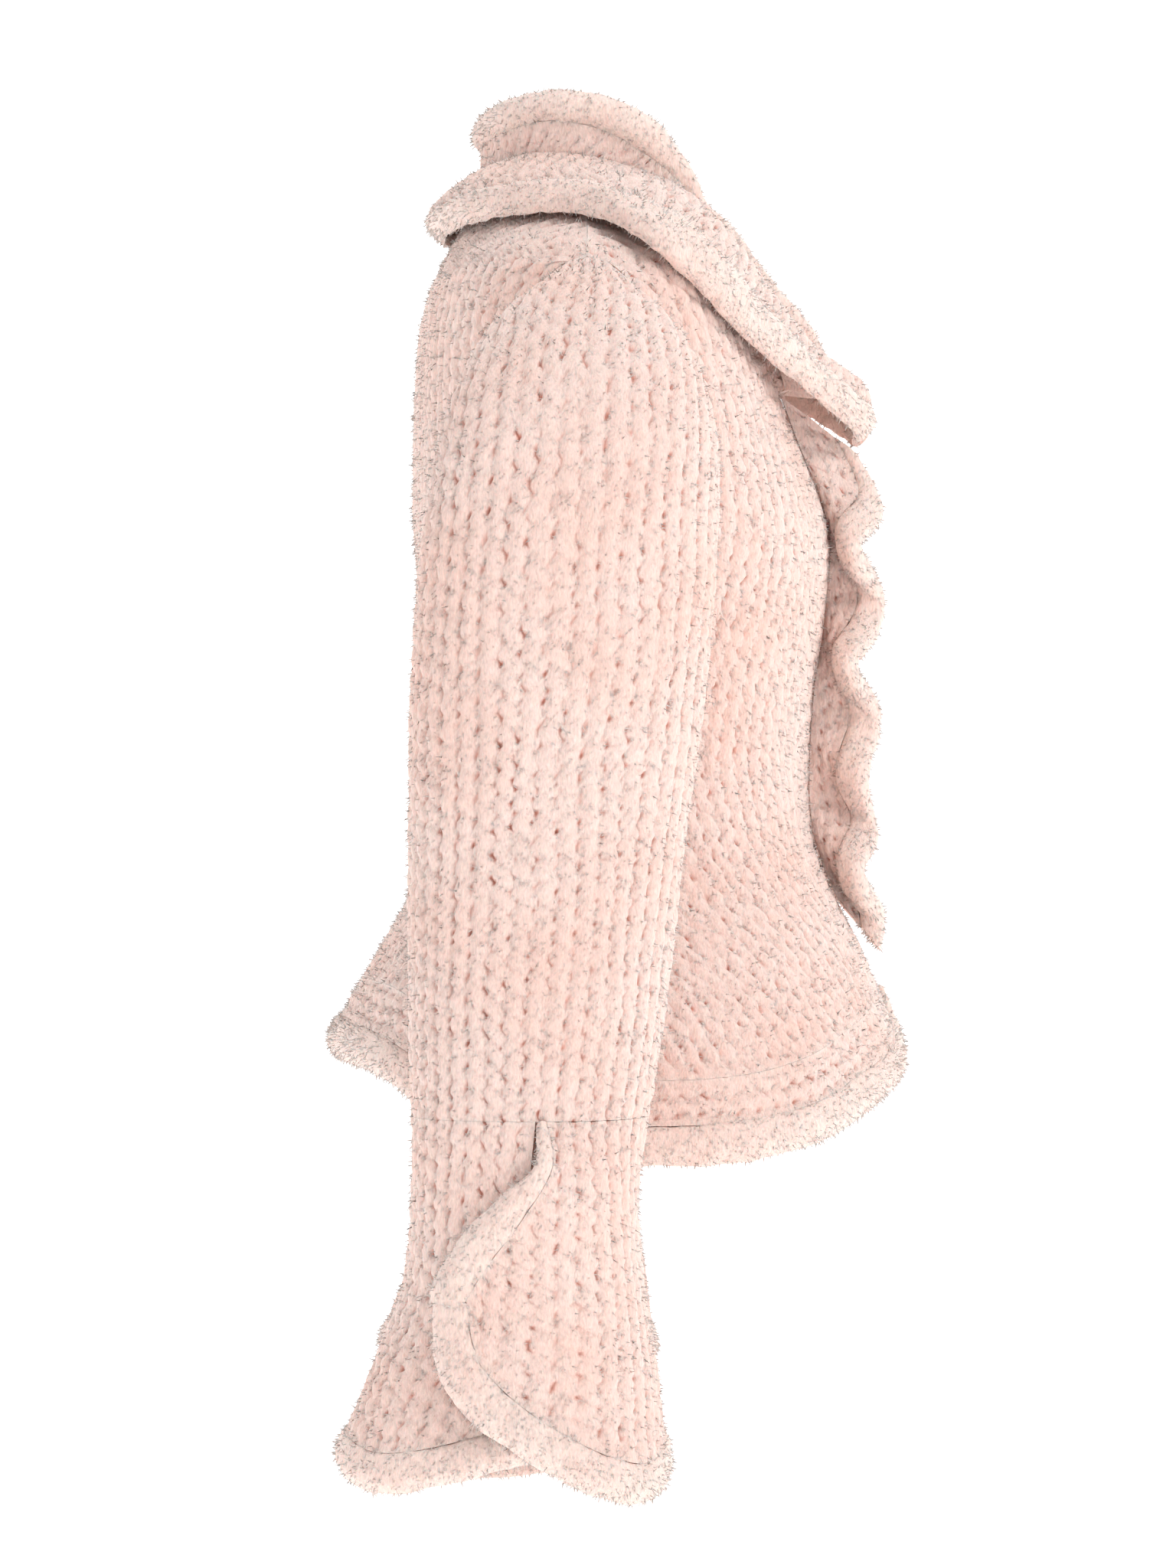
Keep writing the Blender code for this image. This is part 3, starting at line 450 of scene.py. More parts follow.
def turn_of(x, height):
    """Turn on the front of the body at a distance from the centre line."""
    ring = smooth_row(BODY, height)
    return math.asin(min((x / ring.half_width) ** (ring.power / 2), 1.0)) / math.pi


def side_border(hem_height, sign):
    """Side seam, armhole and shoulder seam as one path from the hem to the neck, for a front (-1)
    or the back (1)."""
    seam = SIDE_TURN + sign * SEAM_TURN
    under = ARMHOLE_MIDDLE - ARMHOLE_HALF_HEIGHT
    over = ARMHOLE_MIDDLE + ARMHOLE_HALF_HEIGHT
    path = [(seam, z) for z in np.linspace(hem_height, under, ROWS_BELOW_ARMHOLE + 1)[:-1]]
    for angle in np.linspace(-math.pi / 2, math.pi / 2, ARM_POINTS // 2 + 1):
        notch = sign * ARMHOLE_HALF_TURN * math.cos(angle)
        path.append((seam + notch, ARMHOLE_MIDDLE + ARMHOLE_HALF_HEIGHT * math.sin(angle)))
    path += [(seam + sign * SEAM_TURN, z) for z in np.linspace(over, 0, ROWS_OVER_SHOULDER + 1)[1:]]
    return np.array(path)


def hem_lines(edge, band, border):
    """Seam of the edging, both edges of the border and the panel's lower edge: lines over the
    hem's edge, their ends kept on the seams and the front edge."""
    band, border = (np.pad(widths, (0, len(edge) - len(widths)), "edge") for widths in (band, border))
    lines = []
    for offset in (band, band + GAP, band + border + GAP, band + border + 2 * GAP):
        path = inset(ON_BODY, edge, offset)
        if edge[0, 0] > FRONT_HEM[0].turn:
            path[0, 0] = edge[0, 0]
        path[-1, 0] = edge[-1, 0]
        lines.append(path)
    return lines

# %% The right front
def front_places():
    """Places of the right front, the edges of its border and those of its hem edging."""
    edge = np.array(FRONT_HEM, dtype=float)
    edge[-1, 0] -= SEAM_TURN
    seam, border_low, border_high, panel = hem_lines(edge, FRONT_BAND_WIDTHS, FRONT_BORDER_WIDTHS)
    right = side_border(panel[-1, 1], -1.0)
    top = []
    for u in shares_along(panel, 0):
        x = NECK_FRONT_X + (NECK_SIDE_X - NECK_FRONT_X) * u**NECK_BEND
        height = -NECK_FRONT_DROP * (1 - u)
        top.append((turn_of(x, height), height))
    top = np.array([*top[:-1], right[-1]])
    w = shares_along(right, 1)
    start = FRONT_TURN + (panel[0, 0] - FRONT_TURN) * smoothstep(LOWER_SWING, 0.0, w)
    start = start + (top[0, 0] - FRONT_TURN) * smoothstep(UPPER_SWING, 1.0, w)
    left = np.stack([start, panel[0, 1] + (top[0, 1] - panel[0, 1]) * w], axis=-1)
    return fill_panel(panel, top, left, right, False), (border_high, border_low), (seam, edge)

# %% The back
def back_places():
    """The same for the back, from the right seam to the left one."""
    turns = np.linspace(SIDE_TURN, SIDE_TURN + 1, BACK_COLUMNS + 1)
    edge = np.array([(turn, smooth(BACK_HEM, min(turn, 2 - turn))[1]) for turn in turns])
    edge[[0, -1], 0] += (SEAM_TURN, -SEAM_TURN)
    seam, border_low, border_high, panel = hem_lines(edge, (BAND_WIDTH,), (BORDER_WIDTH,))
    left = side_border(panel[0, 1], 1.0)
    right = (2, 0) + left * (-1, 1)
    top = np.stack([turns, -NECK_BACK_DROP * np.sin(np.pi * (turns - SIDE_TURN))], axis=-1)
    top[0], top[-1] = left[-1], right[-1]
    return fill_panel(panel, top, left, right, True), (border_high, border_low), (seam, edge)

# %% [markdown]
# Each finished wall is kept under the name of the CAD node that it will replace. A piece on the
# wearer's right is kept with its mirror image for the left.

# %% A store for the coarse walls
Wall = namedtuple("Wall", "outer inner finish closed")
FLIP = np.array([-1.0, 1.0, 1.0])
WALLS = {}


def make_shell(name, grids, finish, closed=False):
    WALLS[name] = Wall(*grids, finish, closed)


def make_pair(name, grids, finish, closed=False):
    make_shell(name + "_right", grids, finish, closed)
    make_shell(name + "_left", [grid * FLIP for grid in grids], finish, closed)

# %% Body
def build_body():
    """Fronts and back, each over a crosswise border and a smooth edging along the hem."""
    front, front_border, front_band = front_places()
    back, back_border, back_band = back_places()
    make_pair("front", walls(ON_BODY, front), "knit")
    make_shell("back", walls(ON_BODY, back), "knit")
    make_pair("hem_border_front", walls(ON_BODY, strip_between(*front_border, BORDER_SHARES)), "knit")
    make_shell("hem_border_back", walls(ON_BODY, strip_between(*back_border, BORDER_SHARES)), "knit")
    make_pair("hem_edging_front", edging(ON_BODY, *front_band), "edging")
    make_shell("hem_edging_back", edging(ON_BODY, *back_band), "edging")
    return front, back

front_panel, back_panel = build_body()
print("walls so far:", len(WALLS))

# %% Sleeves
def build_sleeves():
    """Each sleeve runs from the armhole, a gap inside its edge, to the top of the slit."""
    loop = []
    for angle in np.arange(ARM_POINTS) * math.tau / ARM_POINTS:
        turn = SIDE_TURN - (ARMHOLE_HALF_TURN - ARMHOLE_GAP_TURN) * math.cos(angle)
        loop.append((turn, ARMHOLE_MIDDLE + (ARMHOLE_HALF_HEIGHT - GAP) * math.sin(angle)))
    rows = [[(360.0 * i / ARM_POINTS, down) for i in range(ARM_POINTS)] for down in SLEEVE_STEPS]
    grids = [np.concatenate(parts) for parts in zip(walls(ON_BODY, [loop]), walls(ON_ARM, rows))]
    make_pair("sleeve", grids, "knit", closed=True)

build_sleeves()
print("sleeve rows:", len(WALLS["sleeve_right"].outer))

# %% Cuffs
def build_cuffs():
    """The bell below the slit: one sheet whose front lobe laps over its own back end."""
    turn_at = len(CUFF_SLIT) - 1
    hem_steps = np.arange((len(CUFF_HEM) - 1) * CUFF_STEPS + 1) / CUFF_STEPS
    steps = np.concatenate([np.arange(turn_at), turn_at + hem_steps])
    edge = np.array([at_number(CUFF_SLIT + CUFF_HEM[1:], step) for step in steps])
    widths = np.minimum(CUFF_BAND_START + CUFF_BAND_GROWTH * steps, BAND_WIDTH)
    seam, panel = (inset(ON_CUFF, edge, widths + gap, -1.0) for gap in (0.0, GAP))
    for path in (seam, panel):
        path[0, 1] = edge[0, 1]
        path[-1, 0] = edge[-1, 0]
    left = panel[: turn_at + 1][::-1]
    bottom = panel[turn_at:]
    end = CUFF_LAP_END[-1]
    heights = bottom[-1, 1] + (end.height - bottom[-1, 1]) * shares_along(left, 1)
    right = np.array([(smooth(CUFF_LAP_END, height, 1)[0], height) for height in heights])
    turns = left[-1, 0] + (end.angle - left[-1, 0]) * shares_along(bottom, 0)
    top = np.stack([turns, np.full(len(turns), end.height)], axis=-1)
    make_pair("cuff", walls(ON_CUFF, fill_patch(bottom, top, left, right)), "knit")
    make_pair("cuff_edging", edging(ON_CUFF, seam, edge), "edging")

build_cuffs()
print("cuff grid:", WALLS["cuff_right"].outer.shape[:2])

# %% [markdown]
# The collar is worked out for the right half, from the front end to the middle of the back, and
# mirrored, so that its two halves meet without a seam.

# %% The neckline and both halves of the collar
def make_round(name, grids, finish):
    """A wall over the right half, carried on round to the left front end."""
    make_shell(name, [np.concatenate([g, (g * FLIP)[:, -2::-1]], axis=1) for g in grids], finish)


def columns(section):
    """Each column of a section's table, ready to be spread over the points of a path."""
    return [np.array(values, dtype=float)[:, None, None] for values in zip(*section)]


def eased(ways):
    """Unit vectors along a path, each averaged with its neighbours."""
    for _ in range(3):
        padded = np.concatenate([ways[:1], ways, ways[-1:]])
        ways = unit(padded[:-2] + 2 * padded[1:-1] + padded[2:])
    ways[-1, 0] = 0.0
    return ways


def neckline(front, back):
    """Places along the neckline from the right front to the centre back, the places just below
    them, and how far along each is."""
    backs = BACK_COLUMNS // 2
    path, below = (np.concatenate([front[row], back[row, 1 : backs + 1]]) for row in (-1, -2))
    to_shoulder = np.linspace(0, FRONT_SHARE, front.shape[1])
    return path, below, np.concatenate([to_shoulder, np.linspace(FRONT_SHARE, 1, backs + 1)[1:]])

# %% Standing collar, roll and fall
def build_collar(front, back):
    """Standing collar on the neckline with its roll, and the fall over the shoulders."""
    path, below, along = neckline(front, back)
    seats, ways = seated(ON_BODY, path)
    base = seats + unit(seats - seated(ON_BODY, below)[0]) * GAP
    base, base_inner = sandwich(base, ways, 0.0, FUR_WALL)
    tops = np.array([smooth(STAND_TOP, s)[1:] for s in along]) * FLIP
    rises = tops - (base + base_inner) / 2
    across = np.cross(strides(np.concatenate([tops, tops[-2:-1] * FLIP]))[:-1], rises)
    inwards = (across * (base - base_inner)).sum(axis=1) < 0
    across = eased(unit(np.where(inwards[:, None], -across, across)))
    rises = eased(unit(rises))
    share = np.array(STAND_SHARES)[:, None, None]
    waist = across * STAND_WAIST * np.sin(np.pi * share)
    half = across * FUR_WALL / 2
    outer = (1 - share) * base + share * (tops + half) - waist
    inner = (1 - share) * base_inner + share * (tops - half) - waist
    make_round("collar_stand", (outer, inner), "knit")
    up, raised, wall = columns(ROLL_PROFILE)
    make_round("collar_roll", sandwich(tops + rises * (GAP + up), across, raised, wall), "edging")
    build_fall(path, along, (outer[1] + outer[2]) / 2 + across * FALL_ROOT_GAP, rises)


def build_fall(path, along, root, rises):
    """The fall leaves the standing collar and lies over the shoulders, lifted off the panels."""
    free = np.array([smooth(FALL_EDGE, s)[1:] for s in along])

    def resting(share):
        seats, out = seated(ON_BODY, path + (free[:, :2] - path) * share)
        return seats + out * (free[:, 2:] + FALL_ARCH * math.sin(math.pi * share)), out

    def laid(shares):
        rows = []
        for share in shares:
            seats, out = resting(share)
            weight = 1 - smoothstep(0.0, FALL_ROOT_SHARE, share)
            seats = seats + (root - resting(0.0)[0]) * weight
            rows.append((seats, unit(out * (1 - weight) + rises * weight)))
        return map(np.array, zip(*rows))

    make_round("collar_fall", sandwich(*laid(FALL_KNIT_SHARES), FUR_WALL / 2, FUR_WALL), "knit")
    seats, ways = laid([row.share for row in FALL_EDGING])
    seats[0] += unit(seats[-1] - seats[0]) * GAP
    _, raised, wall = columns(FALL_EDGING)
    make_round("collar_fall_edging", sandwich(seats, ways, raised, wall), "edging")

build_collar(front_panel, back_panel)
print("collar grid:", WALLS["collar_stand"].outer.shape[:2])

# %% Ruffles
def ruffle_paths(front):
    """Root and free edge of the ruffle."""
    line = seated(ON_BODY, front[:, 0])[0]
    root_x = RUFFLE_ROOT_IN - line[:, 0]
    seats = np.array([body_point(turn_of(x, z), z) for x, z in zip(root_x, line[:, 2])])
    steps = np.arange((len(RUFFLE) - 1) * RUFFLE_STEPS + 1) / RUFFLE_STEPS
    root, side, front_y, height = np.array([at_number(RUFFLE, step) for step in steps]).T
    root_y = np.interp(root, seats[:, 2], seats[:, 1]) - RUFFLE_ROOT_GAP
    roots = np.stack([-np.interp(root, seats[:, 2], root_x), root_y, root], axis=-1)
    return roots, np.stack([-side, front_y, height], axis=-1)


def build_ruffles(front):
    """A gathered strip down each front edge, its free edge swinging in and out."""
    roots, edges = ruffle_paths(front)
    run = edges - roots
    seam = 1.0 - RUFFLE_BAND_WIDTH / np.linalg.norm(run, axis=1, keepdims=True)

    def facing(share):
        out = unit(np.cross(strides(roots) * (1 - share) + strides(edges) * share, run))
        mix = smoothstep(0.0, RUFFLE_FLAT_SHARE, share)
        return unit(out * mix + np.array([-1.0, 0.0, 0.0]) * (1 - mix))

    share = np.array(RUFFLE_KNIT_SHARES)[:, None, None] * seam
    make_pair("ruffle", sandwich(roots + run * share, facing(share), RUFFLE_WALL / 2, RUFFLE_WALL), "knit")
    share, raised, wall = columns(RUFFLE_EDGING)
    seats = roots + run * seam + unit(run) * (GAP + (RUFFLE_BAND_WIDTH - GAP) * share)
    make_pair("ruffle_edging", sandwich(seats, facing(seam), raised, wall), "edging")

build_ruffles(front_panel)
print("walls in all:", len(WALLS))

# %% [markdown]
# ## From coarse to fine
# A cubic curve can be drawn through any row of points. Written as a table of weights it is one
# matrix product, so a whole grid is refined both ways at once. The new points are spread evenly by
# length, because even faces show an even knit.

# %% Weights of a cubic curve
def curve_weights(places, count, closed):
    """One row of weights for each place, given in steps from point 0 of a row of count points."""
    own = np.eye(count)
    if closed:
        points = np.concatenate([own[-1:], own, own[:2]])
    else:
        points = np.concatenate([[2 * own[0] - own[1]], own, [2 * own[-1] - own[-2]]])
    start = np.minimum(places.astype(int), len(points) - 4)
    s = (places - start)[:, None]
    basis = (-s + 2 * s**2 - s**3, 2 - 5 * s**2 + 3 * s**3, s + 4 * s**2 - 3 * s**3, s**3 - s**2)
    return sum(points[start + k] * weight / 2 for k, weight in enumerate(basis))


def even_weights(grid, axis, spacing, closed, multiple=1):
    """Weights for points an even length apart along one axis of a grid, and its mean length."""
    lengths = np.linalg.norm(np.roll(grid, -1, axis=axis) - grid, axis=2).mean(axis=1 - axis)
    if not closed:
        lengths = lengths[:-1]
    total = lengths.sum()
    steps = max(int(round(total / spacing / multiple)), 1) * multiple
    marks = np.concatenate([[0.0], np.cumsum(lengths)])
    wanted = np.arange(steps if closed else steps + 1) * total / steps
    places = np.interp(wanted, marks, np.arange(len(marks)))
    return curve_weights(places, grid.shape[axis], closed), total


def refined(w_down, grid, w_across):
    return np.einsum("ar,rcx,bc->abx", w_down, grid, w_across)


def quads_of(ids):
    """Four-sided faces over a grid of point numbers."""
    return np.stack([ids[:-1, :-1], ids[:-1, 1:], ids[1:, 1:], ids[1:, :-1]], axis=-1).reshape(-1, 4)


# %% [markdown]
# A knitted piece is seen mostly from its face, so its face gets fine steps and its back only every
# third one. The rim between them is closed with fans of triangles. A band of smooth fur is round
# like a tube, so its face and back are one closed ring of rows with a cap at each end.

# %% A fine face on a coarser back
FACE_STEP = 1.85         # millimetres between points across a stitch
ROW_STEP = 2.5           # and along it
BACK_EVERY = 3
SEAM_REACH = 0.16        # millimetres that each piece takes of the gap at a seam
RUNS_ON = ("sleeve", "cuff")      # their last rows meet the same knit on the next piece


def fan(fine, coarse, turned):
    """Faces between a fine line of points and a coarse one that has every third of them."""
    a, b, c, d = fine[:-1:BACK_EVERY], fine[1::BACK_EVERY], fine[2::BACK_EVERY], fine[3::BACK_EVERY]
    here, ahead = coarse[:-1], coarse[1:]
    tris = np.array([(a, b, here), (b, c, here), (here, c, ahead), (c, d, ahead)])
    tris = tris.transpose(2, 0, 1).reshape(-1, 3)
    return (tris[:, ::-1] if turned else tris).tolist()


def reach(grid, axis):
    """Moves the first and last points along one axis outwards, so that seams nearly close."""
    grid = grid.copy()
    lines = grid if axis == 0 else grid.swapaxes(0, 1)
    for end, beside in ((0, 1), (-1, -2)):
        lines[end] += unit(lines[end] - lines[beside]) * SEAM_REACH
    return grid


def fine_wall(name):
    """Points, faces and places in the knit of one knitted piece."""
    outer, inner, _, closed = WALLS[name]
    for axis in (0,) if closed else (0, 1):
        outer, inner = reach(outer, axis), reach(inner, axis)
    w_down, length = even_weights(outer, 0, ROW_STEP, False, BACK_EVERY)
    w_across, girth = even_weights(outer, 1, FACE_STEP, closed, BACK_EVERY)
    face = refined(w_down, outer, w_across)
    back = refined(w_down[::BACK_EVERY], inner, w_across[::BACK_EVERY])
    out = unit(refined(w_down, outer - inner, w_across))
    fine_rows, fine_columns = face.shape[:2]
    face_id = np.arange(face.size // 3).reshape(face.shape[:2])
    back_id = face_id.size + np.arange(back.size // 3).reshape(back.shape[:2])
    if closed:
        face_id, back_id = (np.hstack([ids, ids[:, :1]]) for ids in (face_id, back_id))
    faces = quads_of(face_id).tolist() + quads_of(back_id)[:, ::-1].tolist()
    faces += fan(face_id[0], back_id[0], True) + fan(face_id[-1], back_id[-1], False)
    if not closed:
        faces += fan(face_id[:, 0], back_id[:, 0], False) + fan(face_id[:, -1], back_id[:, -1], True)
    down_mm = np.linspace(0.0, length, fine_rows)[:, None] * np.ones((1, fine_columns))
    across_mm = np.linspace(0.0, girth, fine_columns) * np.ones((fine_rows, 1))
    if closed:
        across_mm *= (fine_columns - 1) / fine_columns
    rim = down_mm if name.startswith(RUNS_ON) else np.minimum(down_mm, length - down_mm)
    if not closed:
        rim = np.minimum(rim, np.minimum(across_mm, girth - across_mm))
    points = np.concatenate([face.reshape(-1, 3), back.reshape(-1, 3)])
    return points, faces, face, out, down_mm, across_mm, girth, rim

# %% A band as a closed ring
BAND_STEP = 2.6          # millimetres between points along a band
RING_STEP = 2.2          # around it


def fine_band(name):
    """Points and faces of one smooth band, rounded all the way round."""
    outer, inner = (reach(reach(grid, 0), 1) for grid in WALLS[name][:2])
    if outer.shape[0] >= outer.shape[1]:
        outer, inner = outer.swapaxes(0, 1), inner.swapaxes(0, 1)
    ring = np.concatenate([outer, inner[::-1]])
    around, _ = even_weights(ring, 0, RING_STEP, True)
    along, _ = even_weights(ring, 1, BAND_STEP, False)
    fine = refined(around, ring, along)
    turns, steps = fine.shape[:2]
    ids = np.arange(turns * steps).reshape(turns, steps)
    faces = quads_of(np.vstack([ids, ids[:1]])).tolist()
    for cap, turned in ((0, False), (-1, True)):
        middle = np.full(turns, ids.size - cap)
        tris = np.stack([ids[:, cap], np.roll(ids[:, cap], -1), middle], axis=-1)
        faces += (tris[:, ::-1] if turned else tris).tolist()
    middles = fine[:, [0, -1]].mean(axis=0)
    return np.concatenate([fine.reshape(-1, 3), middles]), faces

print("steps:", FACE_STEP, "mm on a face,", BAND_STEP, "mm on a band")

# %% [markdown]
# ## Where each stitch lies
# A stitch needs two numbers at each point: how many columns across, and how many rows along. On the
# body the columns hang straight down, so they are counted from the centre line by angle. Everywhere
# else they follow the grid, and a sleeve has a whole number of columns so that they meet.

# %% Counting columns and rows
STITCH_WIDTH = 9.5
STITCH_LENGTH = 12.0
SLEEVE_COLUMNS = 38
# Pieces whose columns run along the long way of the grid, as on a strip that is knitted crosswise.
TURNED = ("ruffle",)


def body_count(face):
    """Columns from the centre line and rows from the neck, for a panel of the body."""
    x, y, z = np.moveaxis(face, -1, 0)
    heights, *sizes = np.array(BODY[::-1]).T
    half_width, front, back, side_y, _ = (np.interp(z, heights, size) for size in sizes)
    angle = np.arctan2(np.abs(x), np.abs(y - side_y))
    return angle * (2 * half_width + front + back) / 4 / STITCH_WIDTH, -z / STITCH_LENGTH


def sleeve_marks():
    """Share of the way round a sleeve at each column of its coarse grid."""
    outer = WALLS["sleeve_right"].outer
    lengths = np.linalg.norm(np.roll(outer, -1, axis=1) - outer, axis=2).mean(axis=0)
    return np.concatenate([[0.0], np.cumsum(lengths)]) / lengths.sum()


def cuff_columns(face):
    """Columns of a cuff, counted as on the sleeve above it, so that its ribs run on."""
    downs, *sizes = np.array(ARM).T
    ring = (np.interp(-face[..., 2] - ARM_DROP, downs, size) for size in sizes)
    out_x, _, in_x, _, front_y, back_y = ring
    across = (2 * np.abs(face[..., 0]) - out_x - in_x) / (out_x - in_x)
    forward = (front_y + back_y - 2 * face[..., 1]) / (back_y - front_y)
    bent = [np.sign(part) * np.abs(part) ** (ARM_POWER / 2) for part in (across, forward)]
    turn = np.arctan2(*bent) / math.tau % 1.0
    return np.interp(turn * ARM_POINTS, np.arange(ARM_POINTS + 1), sleeve_marks()) * SLEEVE_COLUMNS


def knit_count(name, face, down_mm, across_mm, girth):
    if name.startswith("front") or name == "back":
        return body_count(face)
    if name.startswith("sleeve"):
        above = down_mm.max() - down_mm
        return across_mm / girth * SLEEVE_COLUMNS, (-face[-1, :, 2].mean() - above) / STITCH_LENGTH
    if name.startswith("cuff"):
        return cuff_columns(face), -face[..., 2] / STITCH_LENGTH
    if name.startswith(TURNED):
        return down_mm / STITCH_WIDTH, across_mm / STITCH_LENGTH
    return across_mm / STITCH_WIDTH, down_mm / STITCH_LENGTH

print("columns on a sleeve:", SLEEVE_COLUMNS)

# %% [markdown]
# A mesh is made from the points, and the stitch counts go with it as attributes. `cover` says how
# much of the stitch relief a point takes: all of it on the face, less towards the rim, where a seam
# pulls the knit flat, and none on the back.

# %% Meshes with attributes
RIM_FADE = 4.0           # millimetres over which the relief grows from a seam
RIM_COVER = 0.25         # share of the relief that is left at a seam
RIM_ANGLE = math.radians(55)


def mesh_from(name, points, faces, attributes):
    mesh = bpy.data.meshes.new(name)
    mesh.from_pydata((points * MM).tolist(), [], faces)
    for key, values in attributes.items():
        kind, field = ("FLOAT_VECTOR", "vector") if values.ndim == 2 else ("FLOAT", "value")
        slots = mesh.attributes.new(key, kind, "POINT").data
        slots.foreach_set(field, values.astype(np.float32).ravel())
    corners = points[np.array([face[:3] for face in faces])]
    if np.einsum("ij,ij->i", corners[:, 0], np.cross(corners[:, 1], corners[:, 2])).sum() < 0:
        mesh.flip_normals()
    mesh.shade_smooth()
    mesh.set_sharp_from_angle(angle=RIM_ANGLE)
    return placed(name, mesh)


def knitted_piece(node):
    points, faces, face, out, down_mm, across_mm, girth, rim = fine_wall(node)
    counts = knit_count(node, face, down_mm, across_mm, girth)
    cover = RIM_COVER + (1 - RIM_COVER) * np.clip(rim / RIM_FADE, 0, 1)
    flat = zip(("column", "row", "cover"), (*counts, cover))
    attributes = {key: np.pad(values.ravel(), (0, len(points) - rim.size)) for key, values in flat}
    attributes["out"] = np.pad(out.reshape(-1, 3), ((0, len(points) - rim.size), (0, 0)))
    return mesh_from(node + "_knit", points, faces, attributes)


def smooth_piece(node):
    points, faces = fine_band(node)
    return mesh_from(node + "_fur", points, faces, {"cover": np.ones(len(points))})

print("rim fade", RIM_FADE, "mm")

# %% [markdown]
# ## Stitches by Geometry Nodes
# One tree turns the two counts into plump stitches. The whole part of the column count picks the
# column and its random start, and the fractions say where in a stitch the point lies. The height of
# the puff is stored as an attribute, because the material darkens the grooves with it: painted
# shade, mixed with the deeper colour of the fur's roots.

# %% Shorthand for node trees
def pick(sockets, key):
    """A socket by its number, or the first one in use that has this name."""
    if isinstance(key, int):
        return sockets[key]
    return next((socket for socket in sockets if socket.name == key and socket.enabled), sockets[key])


def add(tree, kind, inputs, **settings):
    """A new node with its settings made, and its inputs linked to terms or set to values."""
    node = tree.nodes.new(kind)
    for name, value in settings.items():
        setattr(node, name, value)
    fill_in(node, inputs)
    return node


def fill_in(node, inputs):
    for key, value in inputs.items():
        if isinstance(value, Term):
            node.id_data.links.new(value.socket, pick(node.inputs, key))
        else:
            pick(node.inputs, key).default_value = value


class Term:
    """An output of a node, so that the maths of a tree can be written as plain sums."""

    def __init__(self, node, key=0):
        self.socket = pick(node.outputs, key)
        self.tree = node.id_data

    def math(self, operation, *values):
        inputs = dict(enumerate((self, *values)))
        return Term(add(self.tree, "ShaderNodeMath", inputs, operation=operation))

    def __add__(self, other):
        return self.math("ADD", other)

    def __mul__(self, other):
        return self.math("MULTIPLY", other)

    def __pow__(self, other):
        return self.math("POWER", other)

    def __abs__(self):
        return self.math("ABSOLUTE")

    def __rsub__(self, other):
        return Term(add(self.tree, "ShaderNodeMath", {0: other, 1: self}, operation="SUBTRACT"))


def both_ways(term):
    """From 0 to 1 made into from -1 to 1."""
    return term.math("MULTIPLY_ADD", 2.0, -1.0)


def new_tree(name, inputs, outputs, kind="GeometryNodeTree"):
    """A tree with its inputs by name, and the node that takes its results."""
    tree = bpy.data.node_groups.new(name, kind)
    for in_out, sockets in (("INPUT", inputs), ("OUTPUT", outputs)):
        for label, value in sockets.items():
            socket_type = "NodeSocket" + (value if isinstance(value, str) else "Float")
            socket = tree.interface.new_socket(label, in_out=in_out, socket_type=socket_type)
            if not isinstance(value, str):
                socket.default_value = value
    given = tree.nodes.new("NodeGroupInput")
    return tree, {label: Term(given, label) for label in inputs}, tree.nodes.new("NodeGroupOutput")


def shape_tree(name, inputs):
    shape = {"Geometry": "Geometry"}
    tree, given, result = new_tree(name, {**shape, **inputs}, shape)
    tree.is_modifier = True
    return tree, given, result


def named(tree, label, kind="FLOAT"):
    return Term(add(tree, "GeometryNodeInputNamedAttribute", {"Name": label}, data_type=kind), "Attribute")


def stored(tree, geometry, label, value, kind="FLOAT"):
    """The geometry with a value kept on its points as an attribute."""
    inputs = {"Geometry": geometry, "Name": label, "Value": value}
    return Term(add(tree, "GeometryNodeStoreNamedAttribute", inputs, data_type=kind))


def noise(tree, scale, detail):
    """Smooth noise over the piece, from -1 to 1."""
    spot = Term(add(tree, "GeometryNodeInputPosition", {}))
    texture = add(tree, "ShaderNodeTexNoise", {"Vector": spot, "Scale": scale, "Detail": detail})
    return both_ways(Term(texture))


def chance(tree, seed, inputs, kind="FLOAT"):
    """A random value for each point, or for each whole number given as its ID."""
    node = add(tree, "FunctionNodeRandomValue", {**inputs, "Seed": seed}, data_type=kind)
    return Term(node, "Value")


def pushed(tree, geometry, way, height):
    """The geometry with each point moved along a way by a height."""
    offset = Term(add(tree, "ShaderNodeVectorMath", {0: way, "Scale": height}, operation="SCALE"))
    return Term(add(tree, "GeometryNodeSetPosition", {"Geometry": geometry, "Offset": offset}))

print("node helpers ready")

# %% The stitch tree
STITCH_SEED = 11
DRIFT_SCALE, LUMP_SCALE = 14.0, 60.0     # noises that sway the columns and swell the stitches
RIB_FLATNESS = 0.98      # below 1, so that a groove between two columns isn't bottomless
END_SHADE = 0.36         # painted shade in the crease at a stitch's end
DASH_SHADES = (0.75, 0.25)        # painted shade of a groove: what it gains at stitch ends, and what it has all along
